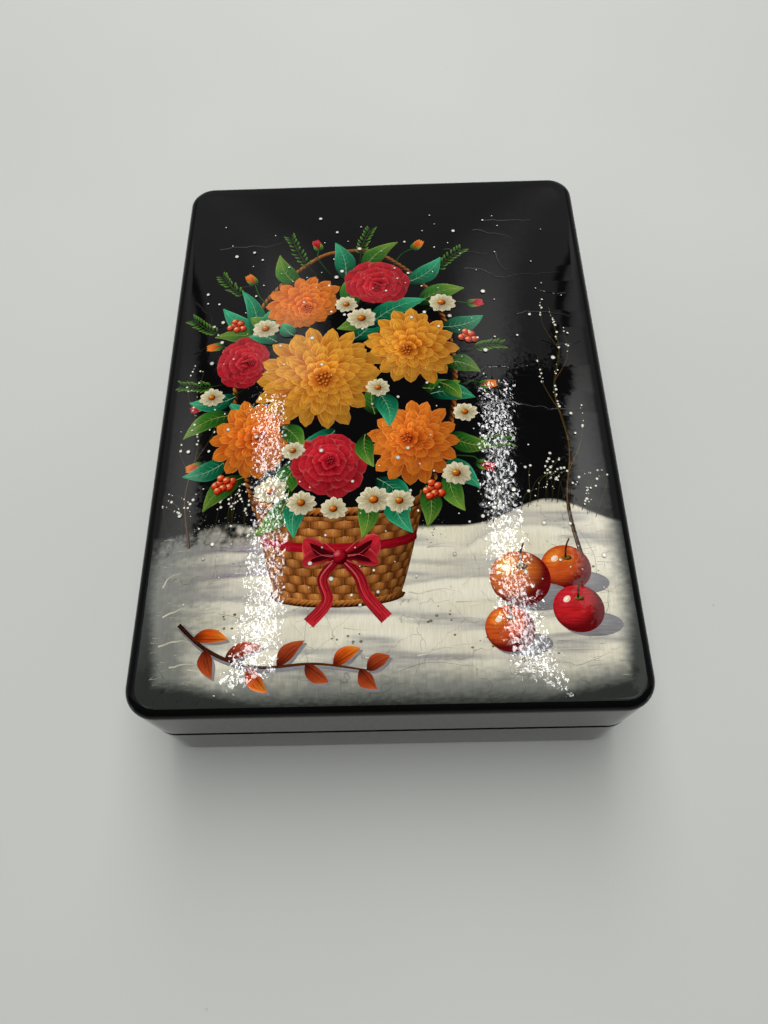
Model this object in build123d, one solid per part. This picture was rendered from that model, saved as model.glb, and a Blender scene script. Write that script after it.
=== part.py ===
"""Hinged papier-mache lacquer box with a crowned lid.

The box lies flat on its underside. The frame's origin is the middle of the underside, +Z is up,
-Y is the front, where the lid opens, and the hinge runs along X inside the rear wall.

How it is built: the walls of lid and base are wound board frames, sawn apart at the seam. A pressed,
crowned panel is glued on the lid frame and a flat panel is let into the underside of the base. Four
mitred lip strips are glued inside the base and stand above the seam, so that the lid closes over them.
A five-knuckle brass hinge on a steel wire sits in the seam of the rear wall. Its leaves are let into
slots in the two rear walls and held by cross pins. The rear edges of both frames are bevelled from the
hinge axis outwards, and the bevels meet when the lid stands fully open.
"""

import math
import os

from build123d import *

# Overall sizes
box_width = 100.0
box_length = 139.0
base_height = 17.3
lid_height = 17.4
dome_rise = 3.4
corner_radius = 6.0

# Lid crown and edges
shoulder_radius = 2.0
crown_sink = 0.03
crown_stations = 3
base_edge_radius = 1.4

# Wall frames
wall = 4.6
lid_wall = 4.4
inner_corner_radius = 0.8
seam_edge_chamfer = 0.25

# Panels
lid_panel_edge = 3.0
lid_panel_thickness = 3.0
plug_width = 1.8
plug_depth = 1.5
bottom_thickness = 2.6
bottom_rebate = 2.0

# Lip strips inside the base
lip_thickness = 1.4
lip_rise = 2.0
lip_lead_in = 0.4

# Hinge
hinge_length = 50.0
hinge_inset = 1.9
knuckle_count = 5
knuckle_radius = 1.3
knuckle_gap = 0.12
wire_radius = 0.5
wire_overhang = 0.25
wire_end_chamfer = 0.2
leaf_thickness = 0.6
leaf_depth = 7.5
leaf_corner_radius = 0.8
bevel_angle = 52.0

# Cross pins that hold the leaves
cross_pin_radius = 0.45
cross_pin_count = 4
cross_pin_spacing = 12.0
cross_pin_height = 4.6
cross_pin_reach = 1.1

# Clearances
glue_gap = 0.05
running_gap = 0.04
knuckle_seat_gap = 0.14
pin_gap = 0.02
overrun = 2.0

# Places worked out from the sizes
seam_z = base_height
field_z = seam_z + lid_height
lid_joint_z = field_z - lid_panel_edge
field_width = box_width - 2 * shoulder_radius
field_length = box_length - 2 * shoulder_radius
rear_y = box_length / 2
axis_y = rear_y - hinge_inset
opening_width = box_width - 2 * wall
opening_length = box_length - 2 * wall
lid_opening_width = box_width - 2 * lid_wall
lid_opening_length = box_length - 2 * lid_wall
knuckle_seat_radius = knuckle_radius + knuckle_seat_gap
knuckle_pitch = hinge_length / knuckle_count
leaf_y = axis_y - knuckle_radius + leaf_thickness / 2


def slab(width: float, length: float, radius: float, low: float, high: float) -> Part:
    """A plate with a rounded rectangular outline, centred on the origin, between two heights."""
    outline = RectangleRounded(width, length, radius)
    return Pos(0, 0, low) * extrude(outline, high - low)


def block(width: float, length: float, low: float, high: float, x: float = 0.0, y: float = 0.0) -> Part:
    """A square-edged block between two heights, centred at x, y."""
    return Pos(x, y, (low + high) / 2) * Box(width, length, high - low)


def rod_along_x(radius: float, length: float, x: float = 0.0) -> Part:
    """A rod on the hinge axis, centred at x."""
    return Pos(x, axis_y, seam_z) * Rot(0, 90, 0) * Cylinder(radius, length)


def crown_section(y: float, drop: float) -> Face:
    """The lid's cross-section at one station: flat below, with a circular crown on top.

    The crown is highest half way along the lid and dies out at the ends of the field. drop lowers
    the whole crown, for the hollow of the underside.
    """
    half_field = field_width / 2
    reach = half_field + overrun
    rise = dome_rise * (1 - (2 * y / field_length) ** 2)
    peak = field_z + rise - drop
    edge = peak - rise * (reach / half_field) ** 2
    low = seam_z - overrun
    crown = ThreePointArc((-reach, y, edge), (0, y, peak), (reach, y, edge))
    sides = Polyline((reach, y, edge), (reach, y, low), (-reach, y, low), (-reach, y, edge))
    return make_face(crown + sides)


def under_crown(drop: float) -> Part:
    """Everything below the lid's crowned surface, lowered by drop."""
    first = -field_length / 2 - overrun
    step = (field_length + 2 * overrun) / (crown_stations - 1)
    return loft([crown_section(first + step * station, drop) for station in range(crown_stations)])


def rear_bevel(side: int) -> Part:
    """The wedge cut off a frame's rear edge, from the hinge axis outwards. side is 1 for the lid."""
    reach = hinge_inset + overrun
    rise = side * reach * math.tan(math.radians(bevel_angle))
    profile = Plane.YZ * make_face(
        Polyline((axis_y, seam_z), (axis_y + reach, seam_z), (axis_y + reach, seam_z + rise), close=True)
    )
    return extrude(profile, box_width / 2 + overrun, both=True)


def leaf_slot(side: int) -> Part:
    """The slot for a hinge leaf in a rear wall, with the round seat of the knuckles."""
    length = hinge_length + 2 * wire_overhang + 2 * glue_gap
    depth = leaf_depth + glue_gap
    low, high = sorted((seam_z - side * overrun, seam_z + side * depth))
    slot = block(hinge_length + 2 * glue_gap, leaf_thickness + 2 * glue_gap, low, high, 0, leaf_y)
    return slot + rod_along_x(knuckle_seat_radius, length)


def cross_pin_places() -> list[float]:
    """The X places of the cross pins, evenly spaced about the middle."""
    first = -cross_pin_spacing * (cross_pin_count - 1) / 2
    return [first + cross_pin_spacing * number for number in range(cross_pin_count)]


def cross_pins(side: int, inner_face_y: float, radius: float) -> Part:
    """The cross pins of one leaf, from the wall's inner face through the leaf."""
    far_y = leaf_y + leaf_thickness / 2 + cross_pin_reach
    length = far_y - inner_face_y
    height = seam_z + side * cross_pin_height
    pins = [
        Pos(x, (inner_face_y + far_y) / 2, height) * Rot(90, 0, 0) * Cylinder(radius, length)
        for x in cross_pin_places()
    ]
    return Part() + pins


def make_base_frame() -> Part:
    """The wound wall of the base, rebated below for the bottom panel."""
    frame = slab(box_width, box_length, corner_radius, 0, seam_z)
    frame = fillet(frame.faces().sort_by(Axis.Z)[0].edges(), base_edge_radius)
    frame = chamfer(frame.faces().sort_by(Axis.Z)[-1].edges(), seam_edge_chamfer)
    frame -= slab(opening_width, opening_length, inner_corner_radius, -overrun, seam_z + overrun)
    rebated_width = opening_width + 2 * bottom_rebate
    rebated_length = opening_length + 2 * bottom_rebate
    frame -= slab(rebated_width, rebated_length, inner_corner_radius, -overrun, bottom_thickness)
    frame -= rear_bevel(-1)
    frame -= leaf_slot(-1)
    return frame - cross_pins(-1, rear_y - wall, cross_pin_radius + pin_gap)


def make_bottom_panel() -> Part:
    """The flat panel let into the underside of the base."""
    width = opening_width + 2 * (bottom_rebate - glue_gap)
    length = opening_length + 2 * (bottom_rebate - glue_gap)
    return slab(width, length, inner_corner_radius - glue_gap, 0, bottom_thickness)


def make_lips() -> dict[str, Part]:
    """The four mitred strips inside the base, which stand above the seam."""
    top = seam_z + lip_rise
    ring = slab(opening_width, opening_length, inner_corner_radius, bottom_thickness, top)
    ring = chamfer(ring.faces().sort_by(Axis.Z)[-1].edges(), lip_lead_in)
    inner_width = opening_width - 2 * lip_thickness
    inner_length = opening_length - 2 * lip_thickness
    ring -= block(inner_width, inner_length, 0, top + overrun)
    half_width = opening_width / 2
    half_length = opening_length / 2
    depth = lip_thickness + overrun
    strips = {}
    for name, turn, across, outwards in (
        ("lip_front", 0, half_width, half_length),
        ("lip_right", 90, half_length, half_width),
        ("lip_rear", 180, half_width, half_length),
        ("lip_left", 270, half_length, half_width),
    ):
        mitre = make_face(
            Polyline(
                (-across + glue_gap, -outwards),
                (across - glue_gap, -outwards),
                (across - glue_gap - depth, -outwards + depth),
                (-across + glue_gap + depth, -outwards + depth),
                close=True,
            )
        )
        strips[name] = ring & Rot(0, 0, turn) * extrude(mitre, top + overrun)
    return strips


def make_lid_frame() -> Part:
    """The wound wall of the lid, rebated above for the panel's plug."""
    frame = slab(box_width, box_length, corner_radius, seam_z, lid_joint_z)
    frame = chamfer(frame.faces().sort_by(Axis.Z)[0].edges(), seam_edge_chamfer)
    frame -= slab(lid_opening_width, lid_opening_length, inner_corner_radius, seam_z - overrun, field_z)
    rebated_width = lid_opening_width + 2 * plug_width
    rebated_length = lid_opening_length + 2 * plug_width
    frame -= slab(rebated_width, rebated_length, inner_corner_radius, lid_joint_z - plug_depth, field_z)
    frame -= rear_bevel(1)
    frame -= leaf_slot(1)
    return frame - cross_pins(1, rear_y - lid_wall, cross_pin_radius + pin_gap)


def make_lid_panel() -> Part:
    """The pressed panel: a rounded shoulder, the crown on the field inside it, a plug and a hollow below."""
    panel = slab(box_width, box_length, corner_radius, lid_joint_z, field_z)
    panel = fillet(panel.faces().sort_by(Axis.Z)[-1].edges(), shoulder_radius)
    field_radius = corner_radius - shoulder_radius
    field = slab(field_width, field_length, field_radius, lid_joint_z, field_z + dome_rise)
    panel += field & under_crown(crown_sink)
    plug_outline_width = lid_opening_width + 2 * (plug_width - glue_gap)
    plug_outline_length = lid_opening_length + 2 * (plug_width - glue_gap)
    plug_radius = inner_corner_radius - glue_gap
    panel += slab(plug_outline_width, plug_outline_length, plug_radius, lid_joint_z - plug_depth, lid_joint_z)
    hollow = slab(lid_opening_width, lid_opening_length, inner_corner_radius, seam_z, field_z + dome_rise)
    return panel - (hollow & under_crown(lid_panel_thickness))


def make_leaf(side: int) -> Part:
    """A hinge leaf with its rolled knuckles. side is 1 for the lid, which has every second knuckle."""
    low, high = sorted((seam_z, seam_z + side * leaf_depth))
    leaf = block(hinge_length, leaf_thickness, low, high, 0, leaf_y)
    far_edges = leaf.edges().filter_by(Axis.Y).group_by(Axis.Z)[-1 if side > 0 else 0]
    leaf = fillet(far_edges, leaf_corner_radius)
    own_first = 1 if side > 0 else 0
    for number in range(knuckle_count):
        x = -hinge_length / 2 + knuckle_pitch * (number + 0.5)
        if number % 2 == own_first:
            leaf += rod_along_x(knuckle_radius, knuckle_pitch - 2 * knuckle_gap, x)
        else:
            leaf -= rod_along_x(knuckle_seat_radius, knuckle_pitch + 2 * knuckle_gap, x)
    leaf -= rod_along_x(wire_radius + running_gap, hinge_length + overrun)
    return leaf - cross_pins(side, rear_y - wall, cross_pin_radius + pin_gap)


def make_hinge_wire() -> Part:
    """The steel wire through all the knuckles, with bevelled ends."""
    wire = rod_along_x(wire_radius, hinge_length + 2 * wire_overhang)
    return chamfer(wire.edges().filter_by(GeomType.CIRCLE), wire_end_chamfer)


def main() -> None:
    """Builds every piece and writes one file for each."""
    pieces = {
        "base_frame": make_base_frame(),
        "bottom_panel": make_bottom_panel(),
        "lid_frame": make_lid_frame(),
        "lid_panel": make_lid_panel(),
        "hinge_leaf_base": make_leaf(-1),
        "hinge_leaf_lid": make_leaf(1),
        "hinge_wire": make_hinge_wire(),
        "base_cross_pins": cross_pins(-1, rear_y - wall, cross_pin_radius),
        "lid_cross_pins": cross_pins(1, rear_y - lid_wall, cross_pin_radius),
    }
    pieces.update(make_lips())
    os.makedirs("parts", exist_ok=True)
    for name, piece in pieces.items():
        piece.label = name
        export_step(piece, f"parts/{name}.step")


main()
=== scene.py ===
"""Scene for a hinged papier-mache lacquer box whose crowned lid carries a painted winter bouquet.

The box lies flat with its front towards -Y. Lengths are in millimetres up to the point where a mesh is made,
and in metres in the node trees. The lifts of paint are in micrometres, colours are written as they look on a
screen, and every piece rides on the base or on the lid.
"""

import logging
import math
from dataclasses import dataclass, field
from enum import Enum
from functools import partialmethod

import bpy
import numpy as np
from mathutils import Matrix, Vector


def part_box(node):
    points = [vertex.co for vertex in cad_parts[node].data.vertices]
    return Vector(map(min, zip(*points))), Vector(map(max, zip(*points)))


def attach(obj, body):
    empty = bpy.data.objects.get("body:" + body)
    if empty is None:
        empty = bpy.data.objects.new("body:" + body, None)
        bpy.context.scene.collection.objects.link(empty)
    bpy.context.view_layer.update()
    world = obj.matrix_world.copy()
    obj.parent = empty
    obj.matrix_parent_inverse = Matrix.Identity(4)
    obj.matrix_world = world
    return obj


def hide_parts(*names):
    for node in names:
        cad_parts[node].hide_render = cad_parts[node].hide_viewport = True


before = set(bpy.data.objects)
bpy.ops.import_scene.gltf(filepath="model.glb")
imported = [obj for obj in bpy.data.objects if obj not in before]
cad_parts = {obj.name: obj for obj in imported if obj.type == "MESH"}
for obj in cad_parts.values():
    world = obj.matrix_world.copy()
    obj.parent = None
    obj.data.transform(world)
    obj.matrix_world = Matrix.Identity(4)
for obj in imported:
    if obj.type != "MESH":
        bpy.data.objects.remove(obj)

MM = 0.001
LOG = logging.getLogger("lacquer_box")
PAINTED_LIGHT = np.array([-0.6, 0.8])
SPIRAL_TURN = 2.4

Array = np.ndarray
Material = bpy.types.Material
Node = bpy.types.Node
Piece = bpy.types.Object
Socket = bpy.types.NodeSocket
Tree = bpy.types.NodeTree
Value = float | int | tuple | Socket
Point = tuple[float, float]
Triple = tuple[float, float, float]
Run = tuple[Point, ...]


class Body(Enum):
    """The two bodies that the hinge joins."""

    BASE = "base"
    LID = "lid"


def screen(red: float, green: float, blue: float) -> Array:
    """A colour as it looks on a screen, 0 to 255, turned into linear light."""
    share = np.array([red, green, blue]) / 255
    return np.where(share <= 0.04045, share / 12.92, ((share + 0.055) / 1.055) ** 2.4)


def rgba(colour: Array) -> tuple[float, float, float, float]:
    """A linear colour with full cover, for a shader socket."""
    return (*(float(part) for part in colour), 1.0)


def smooth(low: float, high: float, value: Array | float) -> Array:
    """A soft step from 0 at low to 1 at high."""
    share = np.clip((np.asarray(value, dtype=float) - low) / (high - low), 0, 1)
    return share * share * (3 - 2 * share)


def blend(first: Array, second: Array, share: Array | float) -> Array:
    """Two colours, or arrays of them, mixed by a share for each point."""
    share = np.asarray(share)[..., None]
    return first * (1 - share) + second * share


def beside(run: Array) -> Array:
    """A direction in plan, turned a quarter to its left."""
    return np.array([-run[1], run[0]])


def mottle(x: Array, y: Array, cell: float, seed: int) -> Array:
    """Soft random patches.

    Args:
        x: Places across, in millimetres.
        y: Places along, in millimetres.
        cell: How large a patch is.
        seed: Which pattern.

    Returns:
        Values from 0 to 1, one for each place.
    """
    table = np.random.default_rng(seed).random((64, 64))
    column, row = x / cell + 20.0, y / cell + 20.0
    left, low = np.floor(column).astype(int), np.floor(row).astype(int)
    across, along = smooth(0, 1, column - left), smooth(0, 1, row - low)

    def at(right: int, up: int) -> Array:
        """The table's value at one corner of each place's cell."""
        return table[(low + up) % 64, (left + right) % 64]

    lower = at(0, 0) * (1 - across) + at(1, 0) * across
    upper = at(0, 1) * (1 - across) + at(1, 1) * across
    return lower * (1 - along) + upper * along


# ---------------------------------------------------------------- node trees


class Graph:
    """Adds nodes to a tree, sets their inputs and joins them."""

    def __init__(self, tree: Tree) -> None:
        """Takes the tree that the nodes go into."""
        self.tree = tree

    def put(self, socket: Socket, value: Value) -> None:
        """Joins a socket to another, or sets its value.

        Args:
            socket: The input socket.
            value: The output socket that feeds it, or its value.
        """
        if isinstance(value, Socket):
            self.tree.links.new(value, socket)
        else:
            socket.default_value = value

    def node(self, kind: str, inputs: dict | None = None, **settings: object) -> Node:
        """Adds a node.

        Args:
            kind: The node's type name.
            inputs: A value or a socket for each input, by name or number.
            settings: The node's own properties.

        Returns:
            The new node.
        """
        node = self.tree.nodes.new(kind)
        for name, setting in settings.items():
            setattr(node, name, setting)
        for name, value in (inputs or {}).items():
            self.put(node.inputs[name], value)
        return node

    def out(self, kind: str, inputs: dict | None = None, output: int | str = 0, **settings: object) -> Socket:
        """Adds a node and gives one of its outputs, the first unless another is named."""
        return self.node(kind, inputs, **settings).outputs[output]

    def math(self, step: str, first: Value, second: Value = 0.0, third: Value = 0.0) -> Socket:
        """One step of arithmetic and its result."""
        return self.out("ShaderNodeMath", {0: first, 1: second, 2: third}, operation=step)

    plus = partialmethod(math, "ADD")
    minus = partialmethod(math, "SUBTRACT")
    times = partialmethod(math, "MULTIPLY")
    over = partialmethod(math, "DIVIDE")
    times_plus = partialmethod(math, "MULTIPLY_ADD")
    larger = partialmethod(math, "MAXIMUM")
    under = partialmethod(math, "LESS_THAN")
    size = partialmethod(math, "ABSOLUTE")

    def vector(self, step: str, first: Value, second: Value = (0, 0, 0), scale: Value = 1.0) -> Socket:
        """One step of arithmetic on vectors and its result."""
        return self.out("ShaderNodeVectorMath", {0: first, 1: second, 3: scale}, operation=step)

    def split(self, place: Value) -> list[Socket]:
        """The three parts of a vector."""
        return list(self.node("ShaderNodeSeparateXYZ", {0: place}).outputs)

    def ramp(self, value: Value, low: float, high: float, first: float = 0.0, last: float = 1.0) -> Socket:
        """A soft step from one number to another, as value goes from low to high."""
        settings = {"Value": value, "From Min": low, "From Max": high, "To Min": first, "To Max": last}
        return self.out("ShaderNodeMapRange", settings, interpolation_type="SMOOTHSTEP")

    def mix(self, share: Value, first: Value, second: Value, way: str = "MIX") -> Socket:
        """Two colours mixed by a share."""
        inputs = {0: share, 6: first, 7: second}
        return self.out("ShaderNodeMix", inputs, 2, data_type="RGBA", blend_type=way)

    def noise(self, place: Value, scale: Value, detail: float, rough: float, output: str = "Fac") -> Socket:
        """Soft noise from 0 to 1."""
        inputs = {"Vector": place, "Scale": scale, "Detail": detail, "Roughness": rough}
        return self.out("ShaderNodeTexNoise", inputs, output)

    def cells(self, place: Value, scale: Value, **settings: object) -> bpy.types.NodeOutputs:
        """The outputs of a pattern of cells."""
        return self.node("ShaderNodeTexVoronoi", {"Vector": place, "Scale": scale}, **settings).outputs

    def stretched(self, place: Value, scale: Triple) -> Socket:
        """A place whose axes are scaled one by one."""
        return self.out("ShaderNodeMapping", {"Vector": place, "Scale": scale})

    def object_place(self) -> Socket:
        """The place in the object's own coordinates, in metres."""
        return self.out("ShaderNodeTexCoord", output="Object")


def shader_group(name: str, sizes: dict[str, Value], results: dict[str, str]) -> tuple[Graph, dict, dict]:
    """Starts a shared shader effect.

    Args:
        name: The group's name.
        sizes: Each input's name and usual value. A tuple makes a colour.
        results: Each output's name and kind, Float, Color or Vector.

    Returns:
        A graph on the group's tree, its inputs by name and its outputs by name.
    """
    tree = bpy.data.node_groups.new(name, "ShaderNodeTree")
    for label, value in sizes.items():
        kind = "NodeSocketColor" if isinstance(value, tuple) else "NodeSocketFloat"
        tree.interface.new_socket(label, in_out="INPUT", socket_type=kind).default_value = value
    for label, kind in results.items():
        tree.interface.new_socket(label, in_out="OUTPUT", socket_type=f"NodeSocket{kind}")
    graph = Graph(tree)
    entry, leave = graph.node("NodeGroupInput"), graph.node("NodeGroupOutput")
    return graph, {label: entry.outputs[label] for label in sizes}, {label: leave.inputs[label] for label in results}


class Effects:
    """The shader effects that several finishes share, each built once."""

    def __init__(self) -> None:
        """Builds every group."""
        self.skin = self.lacquer_skin()
        self.strokes = self.brushwork()
        self.specks = self.dust()
        self.cracks = self.craquelure()
        self.wear = self.edge_wear()

    def lacquer_skin(self) -> Tree:
        """Fine facets and orange peel, rubbed flatter towards the rims and the back, slow waves and slumped bands.

        A facet, or a slumped band near the right rim, leans by up to half its Lean either way, in radians.

        Returns:
            The group, with the bent normal and the waves as a soft cloud.
        """
        sizes = {"Peel Size": 0.0011, "Peel Depth": 4.0e-6, "Wave Size": 0.006, "Wave Depth": 4.0e-6}
        sizes |= {"Facet Size": 0.00058, "Facet Lean": 0.02, "Slump Lean": 0.016}
        graph, inlet, outlet = shader_group("Lacquer Skin", sizes, {"Normal": "Vector", "Cloud": "Float"})
        place = graph.object_place()
        x, y, _ = graph.split(place)
        peel = graph.noise(place, graph.over(1.0, inlet["Peel Size"]), 1.0, 0.3)
        wave = graph.noise(place, graph.over(1.0, inlet["Wave Size"]), 1.5, 0.4)
        kept = graph.ramp(graph.size(x), 0.041, 0.036, 0.22, 1.0)
        kept = graph.times(kept, graph.ramp(y, 0.022, 0.008, 0.3, 1.0))
        depth = graph.times(inlet["Peel Depth"], kept)
        height = graph.times_plus(peel, depth, graph.times(wave, inlet["Wave Depth"]))
        bump = graph.out("ShaderNodeBump", {"Strength": 1.0, "Distance": 1.0, "Height": height})
        often = graph.over(1.0, inlet["Facet Size"])
        fine, coarse = graph.cells(place, often)["Color"], graph.cells(place, graph.times(often, 0.62))["Color"]
        facets = graph.mix(graph.ramp(graph.noise(place, 330.0, 1.0, 0.5), 0.53, 0.54), fine, coarse)
        swing = graph.vector("SUBTRACT", facets, (0.5, 0.5, 0.5))
        lean = graph.vector("SCALE", swing, scale=graph.times(inlet["Facet Lean"], kept))
        bent = graph.times(graph.noise(place, 110.0, 4.0, 0.6), 1.6)
        along = {"W": graph.times_plus(y, 170.0, bent), "Scale": 1.0}
        bands = graph.out("ShaderNodeTexVoronoi", along, "Color", voronoi_dimensions="1D")
        step = graph.minus(graph.out("ShaderNodeSeparateColor", {0: bands}), 0.5)
        slump = graph.times(step, graph.times(inlet["Slump Lean"], graph.ramp(x, 0.031, 0.038)))
        turned = graph.vector("ADD", graph.vector("ADD", bump, lean), graph.out("ShaderNodeCombineXYZ", {0: slump}))
        graph.put(outlet["Normal"], graph.vector("NORMALIZE", turned))
        graph.put(outlet["Cloud"], wave)
        return graph.tree

    def brushwork(self) -> Tree:
        """Fine strands that run along each stroke, read from the stroke's own map in millimetres.

        Returns:
            The group, with the streaked colour and the strands.
        """
        sizes = {"Colour": (0.5, 0.5, 0.5, 1.0), "Strength": 0.35}
        graph, inlet, outlet = shader_group("Brushwork", sizes, {"Colour": "Color", "Strands": "Float"})
        place = graph.out("ShaderNodeUVMap", uv_map="Stroke")
        fine = graph.noise(graph.stretched(place, (0.5, 9.0, 1.0)), 1.0, 3.0, 0.62)
        broad = graph.noise(graph.stretched(place, (0.22, 2.2, 1.0)), 1.0, 1.0, 0.5)
        strands = graph.plus(graph.times(fine, 0.65), graph.times(broad, 0.35))
        gain = graph.times_plus(graph.ramp(strands, 0.32, 0.68, -1.0, 1.0), inlet["Strength"], 1.0)
        graph.put(outlet["Colour"], graph.vector("SCALE", inlet["Colour"], scale=gain))
        graph.put(outlet["Strands"], strands)
        return graph.tree

    def dust(self) -> Tree:
        """Sparse pale specks and pinholes.

        Returns:
            The group, with their mask.
        """
        sizes = {"Spacing": 0.006, "Speck": 0.035, "Share": 0.5}
        graph, inlet, outlet = shader_group("Dust Specks", sizes, {"Mask": "Float"})
        spots = graph.cells(graph.object_place(), graph.over(1.0, inlet["Spacing"]))
        near = graph.under(spots["Distance"], inlet["Speck"])
        pick = graph.out("ShaderNodeSeparateColor", {0: spots["Color"]})
        graph.put(outlet["Mask"], graph.times(near, graph.under(pick, inlet["Share"])))
        return graph.tree

    def craquelure(self) -> Tree:
        """A net of hairline age cracks that comes and goes in patches.

        Returns:
            The group, with their mask.
        """
        sizes = {"Cell": 0.007, "Hair": 0.006, "Cover": 0.5}
        graph, inlet, outlet = shader_group("Craquelure", sizes, {"Mask": "Float"})
        place = graph.object_place()
        shift = graph.vector("SCALE", graph.noise(place, 260.0, 2.0, 0.5, "Color"), scale=0.004)
        often = graph.over(1.0, inlet["Cell"])
        net = graph.cells(graph.vector("ADD", place, shift), often, feature="DISTANCE_TO_EDGE")
        line = graph.under(net["Distance"], inlet["Hair"])
        shown = graph.under(graph.noise(place, 70.0, 2.0, 0.6), inlet["Cover"])
        graph.put(outlet["Mask"], graph.times(line, shown))
        return graph.tree

    def edge_wear(self) -> Tree:
        """Small rubbed spots along a level edge at a given height.

        Returns:
            The group, with their mask.
        """
        sizes = {"Edge Height": 0.0, "Reach": 0.0004, "Amount": 0.5}
        graph, inlet, outlet = shader_group("Edge Wear", sizes, {"Mask": "Float"})
        place = graph.object_place()
        apart = graph.size(graph.minus(graph.split(place)[2], inlet["Edge Height"]))
        close = graph.minus(1.0, graph.over(apart, inlet["Reach"]))
        spots = graph.times(graph.noise(place, 900.0, 3.0, 0.7), graph.noise(place, 55.0, 1.0, 0.5))
        score = graph.times(graph.larger(close, 0.0), spots)
        limit = graph.minus(0.5, graph.times(inlet["Amount"], 0.4))
        graph.put(outlet["Mask"], graph.math("GREATER_THAN", score, limit))
        return graph.tree


class Coat:
    """A material that is being put together: its graph and its main shader."""

    def __init__(self, name: str) -> None:
        """Makes the material with a bare shader.

        Args:
            name: The material's name.
        """
        self.material = bpy.data.materials.new(name)
        self.material.use_nodes = True
        self.material.node_tree.nodes.clear()
        self.graph = Graph(self.material.node_tree)
        self.shader = self.graph.node("ShaderNodeBsdfPrincipled")
        self.graph.node("ShaderNodeOutputMaterial", {"Surface": self.shader.outputs[0]})

    def set(self, **inputs: Value) -> None:
        """Sets the main shader's inputs, with underscores for the blanks in their names."""
        for name, value in inputs.items():
            self.graph.put(self.shader.inputs[name.replace("_", " ")], value)

    def use(self, tree: Tree, **inputs: Value) -> bpy.types.NodeOutputs:
        """Adds a shared effect with its own values and gives its outputs."""
        values = {name.replace("_", " "): value for name, value in inputs.items()}
        return self.graph.node("ShaderNodeGroup", values, node_tree=tree).outputs


@dataclass(frozen=True)
class LacquerFinish:
    """Poured lacquer over board: deep colour, orange peel, dust and rubbed edges.

    The rim says where the handled shoulder round the lid starts, across, along and up, in metres.
    """

    name: str
    colour: Array
    worn_colour: Array
    edge_height: float
    roughness: float = 0.034
    peel_depth: float = 4.0e-6
    wave_depth: float = 5.0e-6
    wear: float = 0.22
    rim: Triple = (0.0478, 0.0673, 0.032)
    top_colour: Array | None = None
    top_height: float = 0.0022

    def material(self, effects: Effects) -> Material:
        """Builds the material.

        Args:
            effects: The shared shader effects.

        Returns:
            The new material.
        """
        coat = Coat(self.name)
        graph = coat.graph
        skin = coat.use(effects.skin, Peel_Depth=self.peel_depth, Wave_Depth=self.wave_depth)
        speck = coat.use(effects.specks, Spacing=0.007, Speck=0.016, Share=0.4)["Mask"]
        worn = coat.use(effects.wear, Edge_Height=self.edge_height, Amount=self.wear)["Mask"]
        x, y, z = graph.split(graph.object_place())
        colour = graph.mix(skin["Cloud"], rgba(self.colour), rgba(self.colour * 1.5))
        if self.top_colour is not None:
            above = graph.ramp(z, self.top_height, self.top_height + 0.0001)
            colour = graph.mix(above, colour, rgba(self.top_colour))
        colour = graph.mix(worn, colour, rgba(self.worn_colour))
        colour = graph.mix(graph.times(speck, 0.5), colour, rgba(screen(120, 116, 108)))
        seam = graph.ramp(graph.size(graph.minus(z, self.edge_height)), 0.0011, 0.0008)
        rough = graph.times_plus(skin["Cloud"], 0.02, self.roughness - 0.01)
        rough = graph.times_plus(graph.larger(graph.larger(worn, speck), seam), 0.5, rough)
        past = graph.larger(graph.minus(graph.size(x), self.rim[0]), graph.minus(graph.size(y), self.rim[1]))
        shoulder = graph.times(graph.ramp(past, 0.0, 0.0006), graph.ramp(z, self.rim[2], self.rim[2] + 0.0005))
        gloss = graph.times_plus(graph.larger(seam, graph.times(shoulder, 0.8)), -0.5, 0.5)
        coat.set(Base_Color=colour, Roughness=rough, IOR=1.5, Specular_IOR_Level=gloss, Normal=skin["Normal"])
        return coat.material


@dataclass(frozen=True)
class PaintFinish:
    """Oil colours under the lid's clear lacquer, taken from each stroke's own colours."""

    name: str
    strand_strength: float = 0.35
    crack_cover: float = 0.4
    crack_shade: Array = field(default_factory=lambda: screen(96, 88, 74))
    roughness: float = 0.03
    peel_depth: float = 4.0e-6
    wave_depth: float = 5.0e-6

    def material(self, effects: Effects) -> Material:
        """Builds the material.

        Args:
            effects: The shared shader effects.

        Returns:
            The new material.
        """
        coat = Coat(self.name)
        graph = coat.graph
        paint = graph.out("ShaderNodeAttribute", output="Color", attribute_name="Paint")
        strokes = coat.use(effects.strokes, Colour=paint, Strength=self.strand_strength)
        cracks = coat.use(effects.cracks, Cell=0.009, Hair=0.005, Cover=self.crack_cover)["Mask"]
        skin = coat.use(effects.skin, Peel_Depth=self.peel_depth, Wave_Depth=self.wave_depth)
        toned = graph.mix(graph.times(cracks, 0.35), strokes["Colour"], rgba(self.crack_shade), "MULTIPLY")
        rough = graph.times_plus(strokes["Strands"], 0.008, self.roughness)
        coat.set(Base_Color=toned, Roughness=rough, IOR=1.5, Normal=skin["Normal"])
        return coat.material


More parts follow.
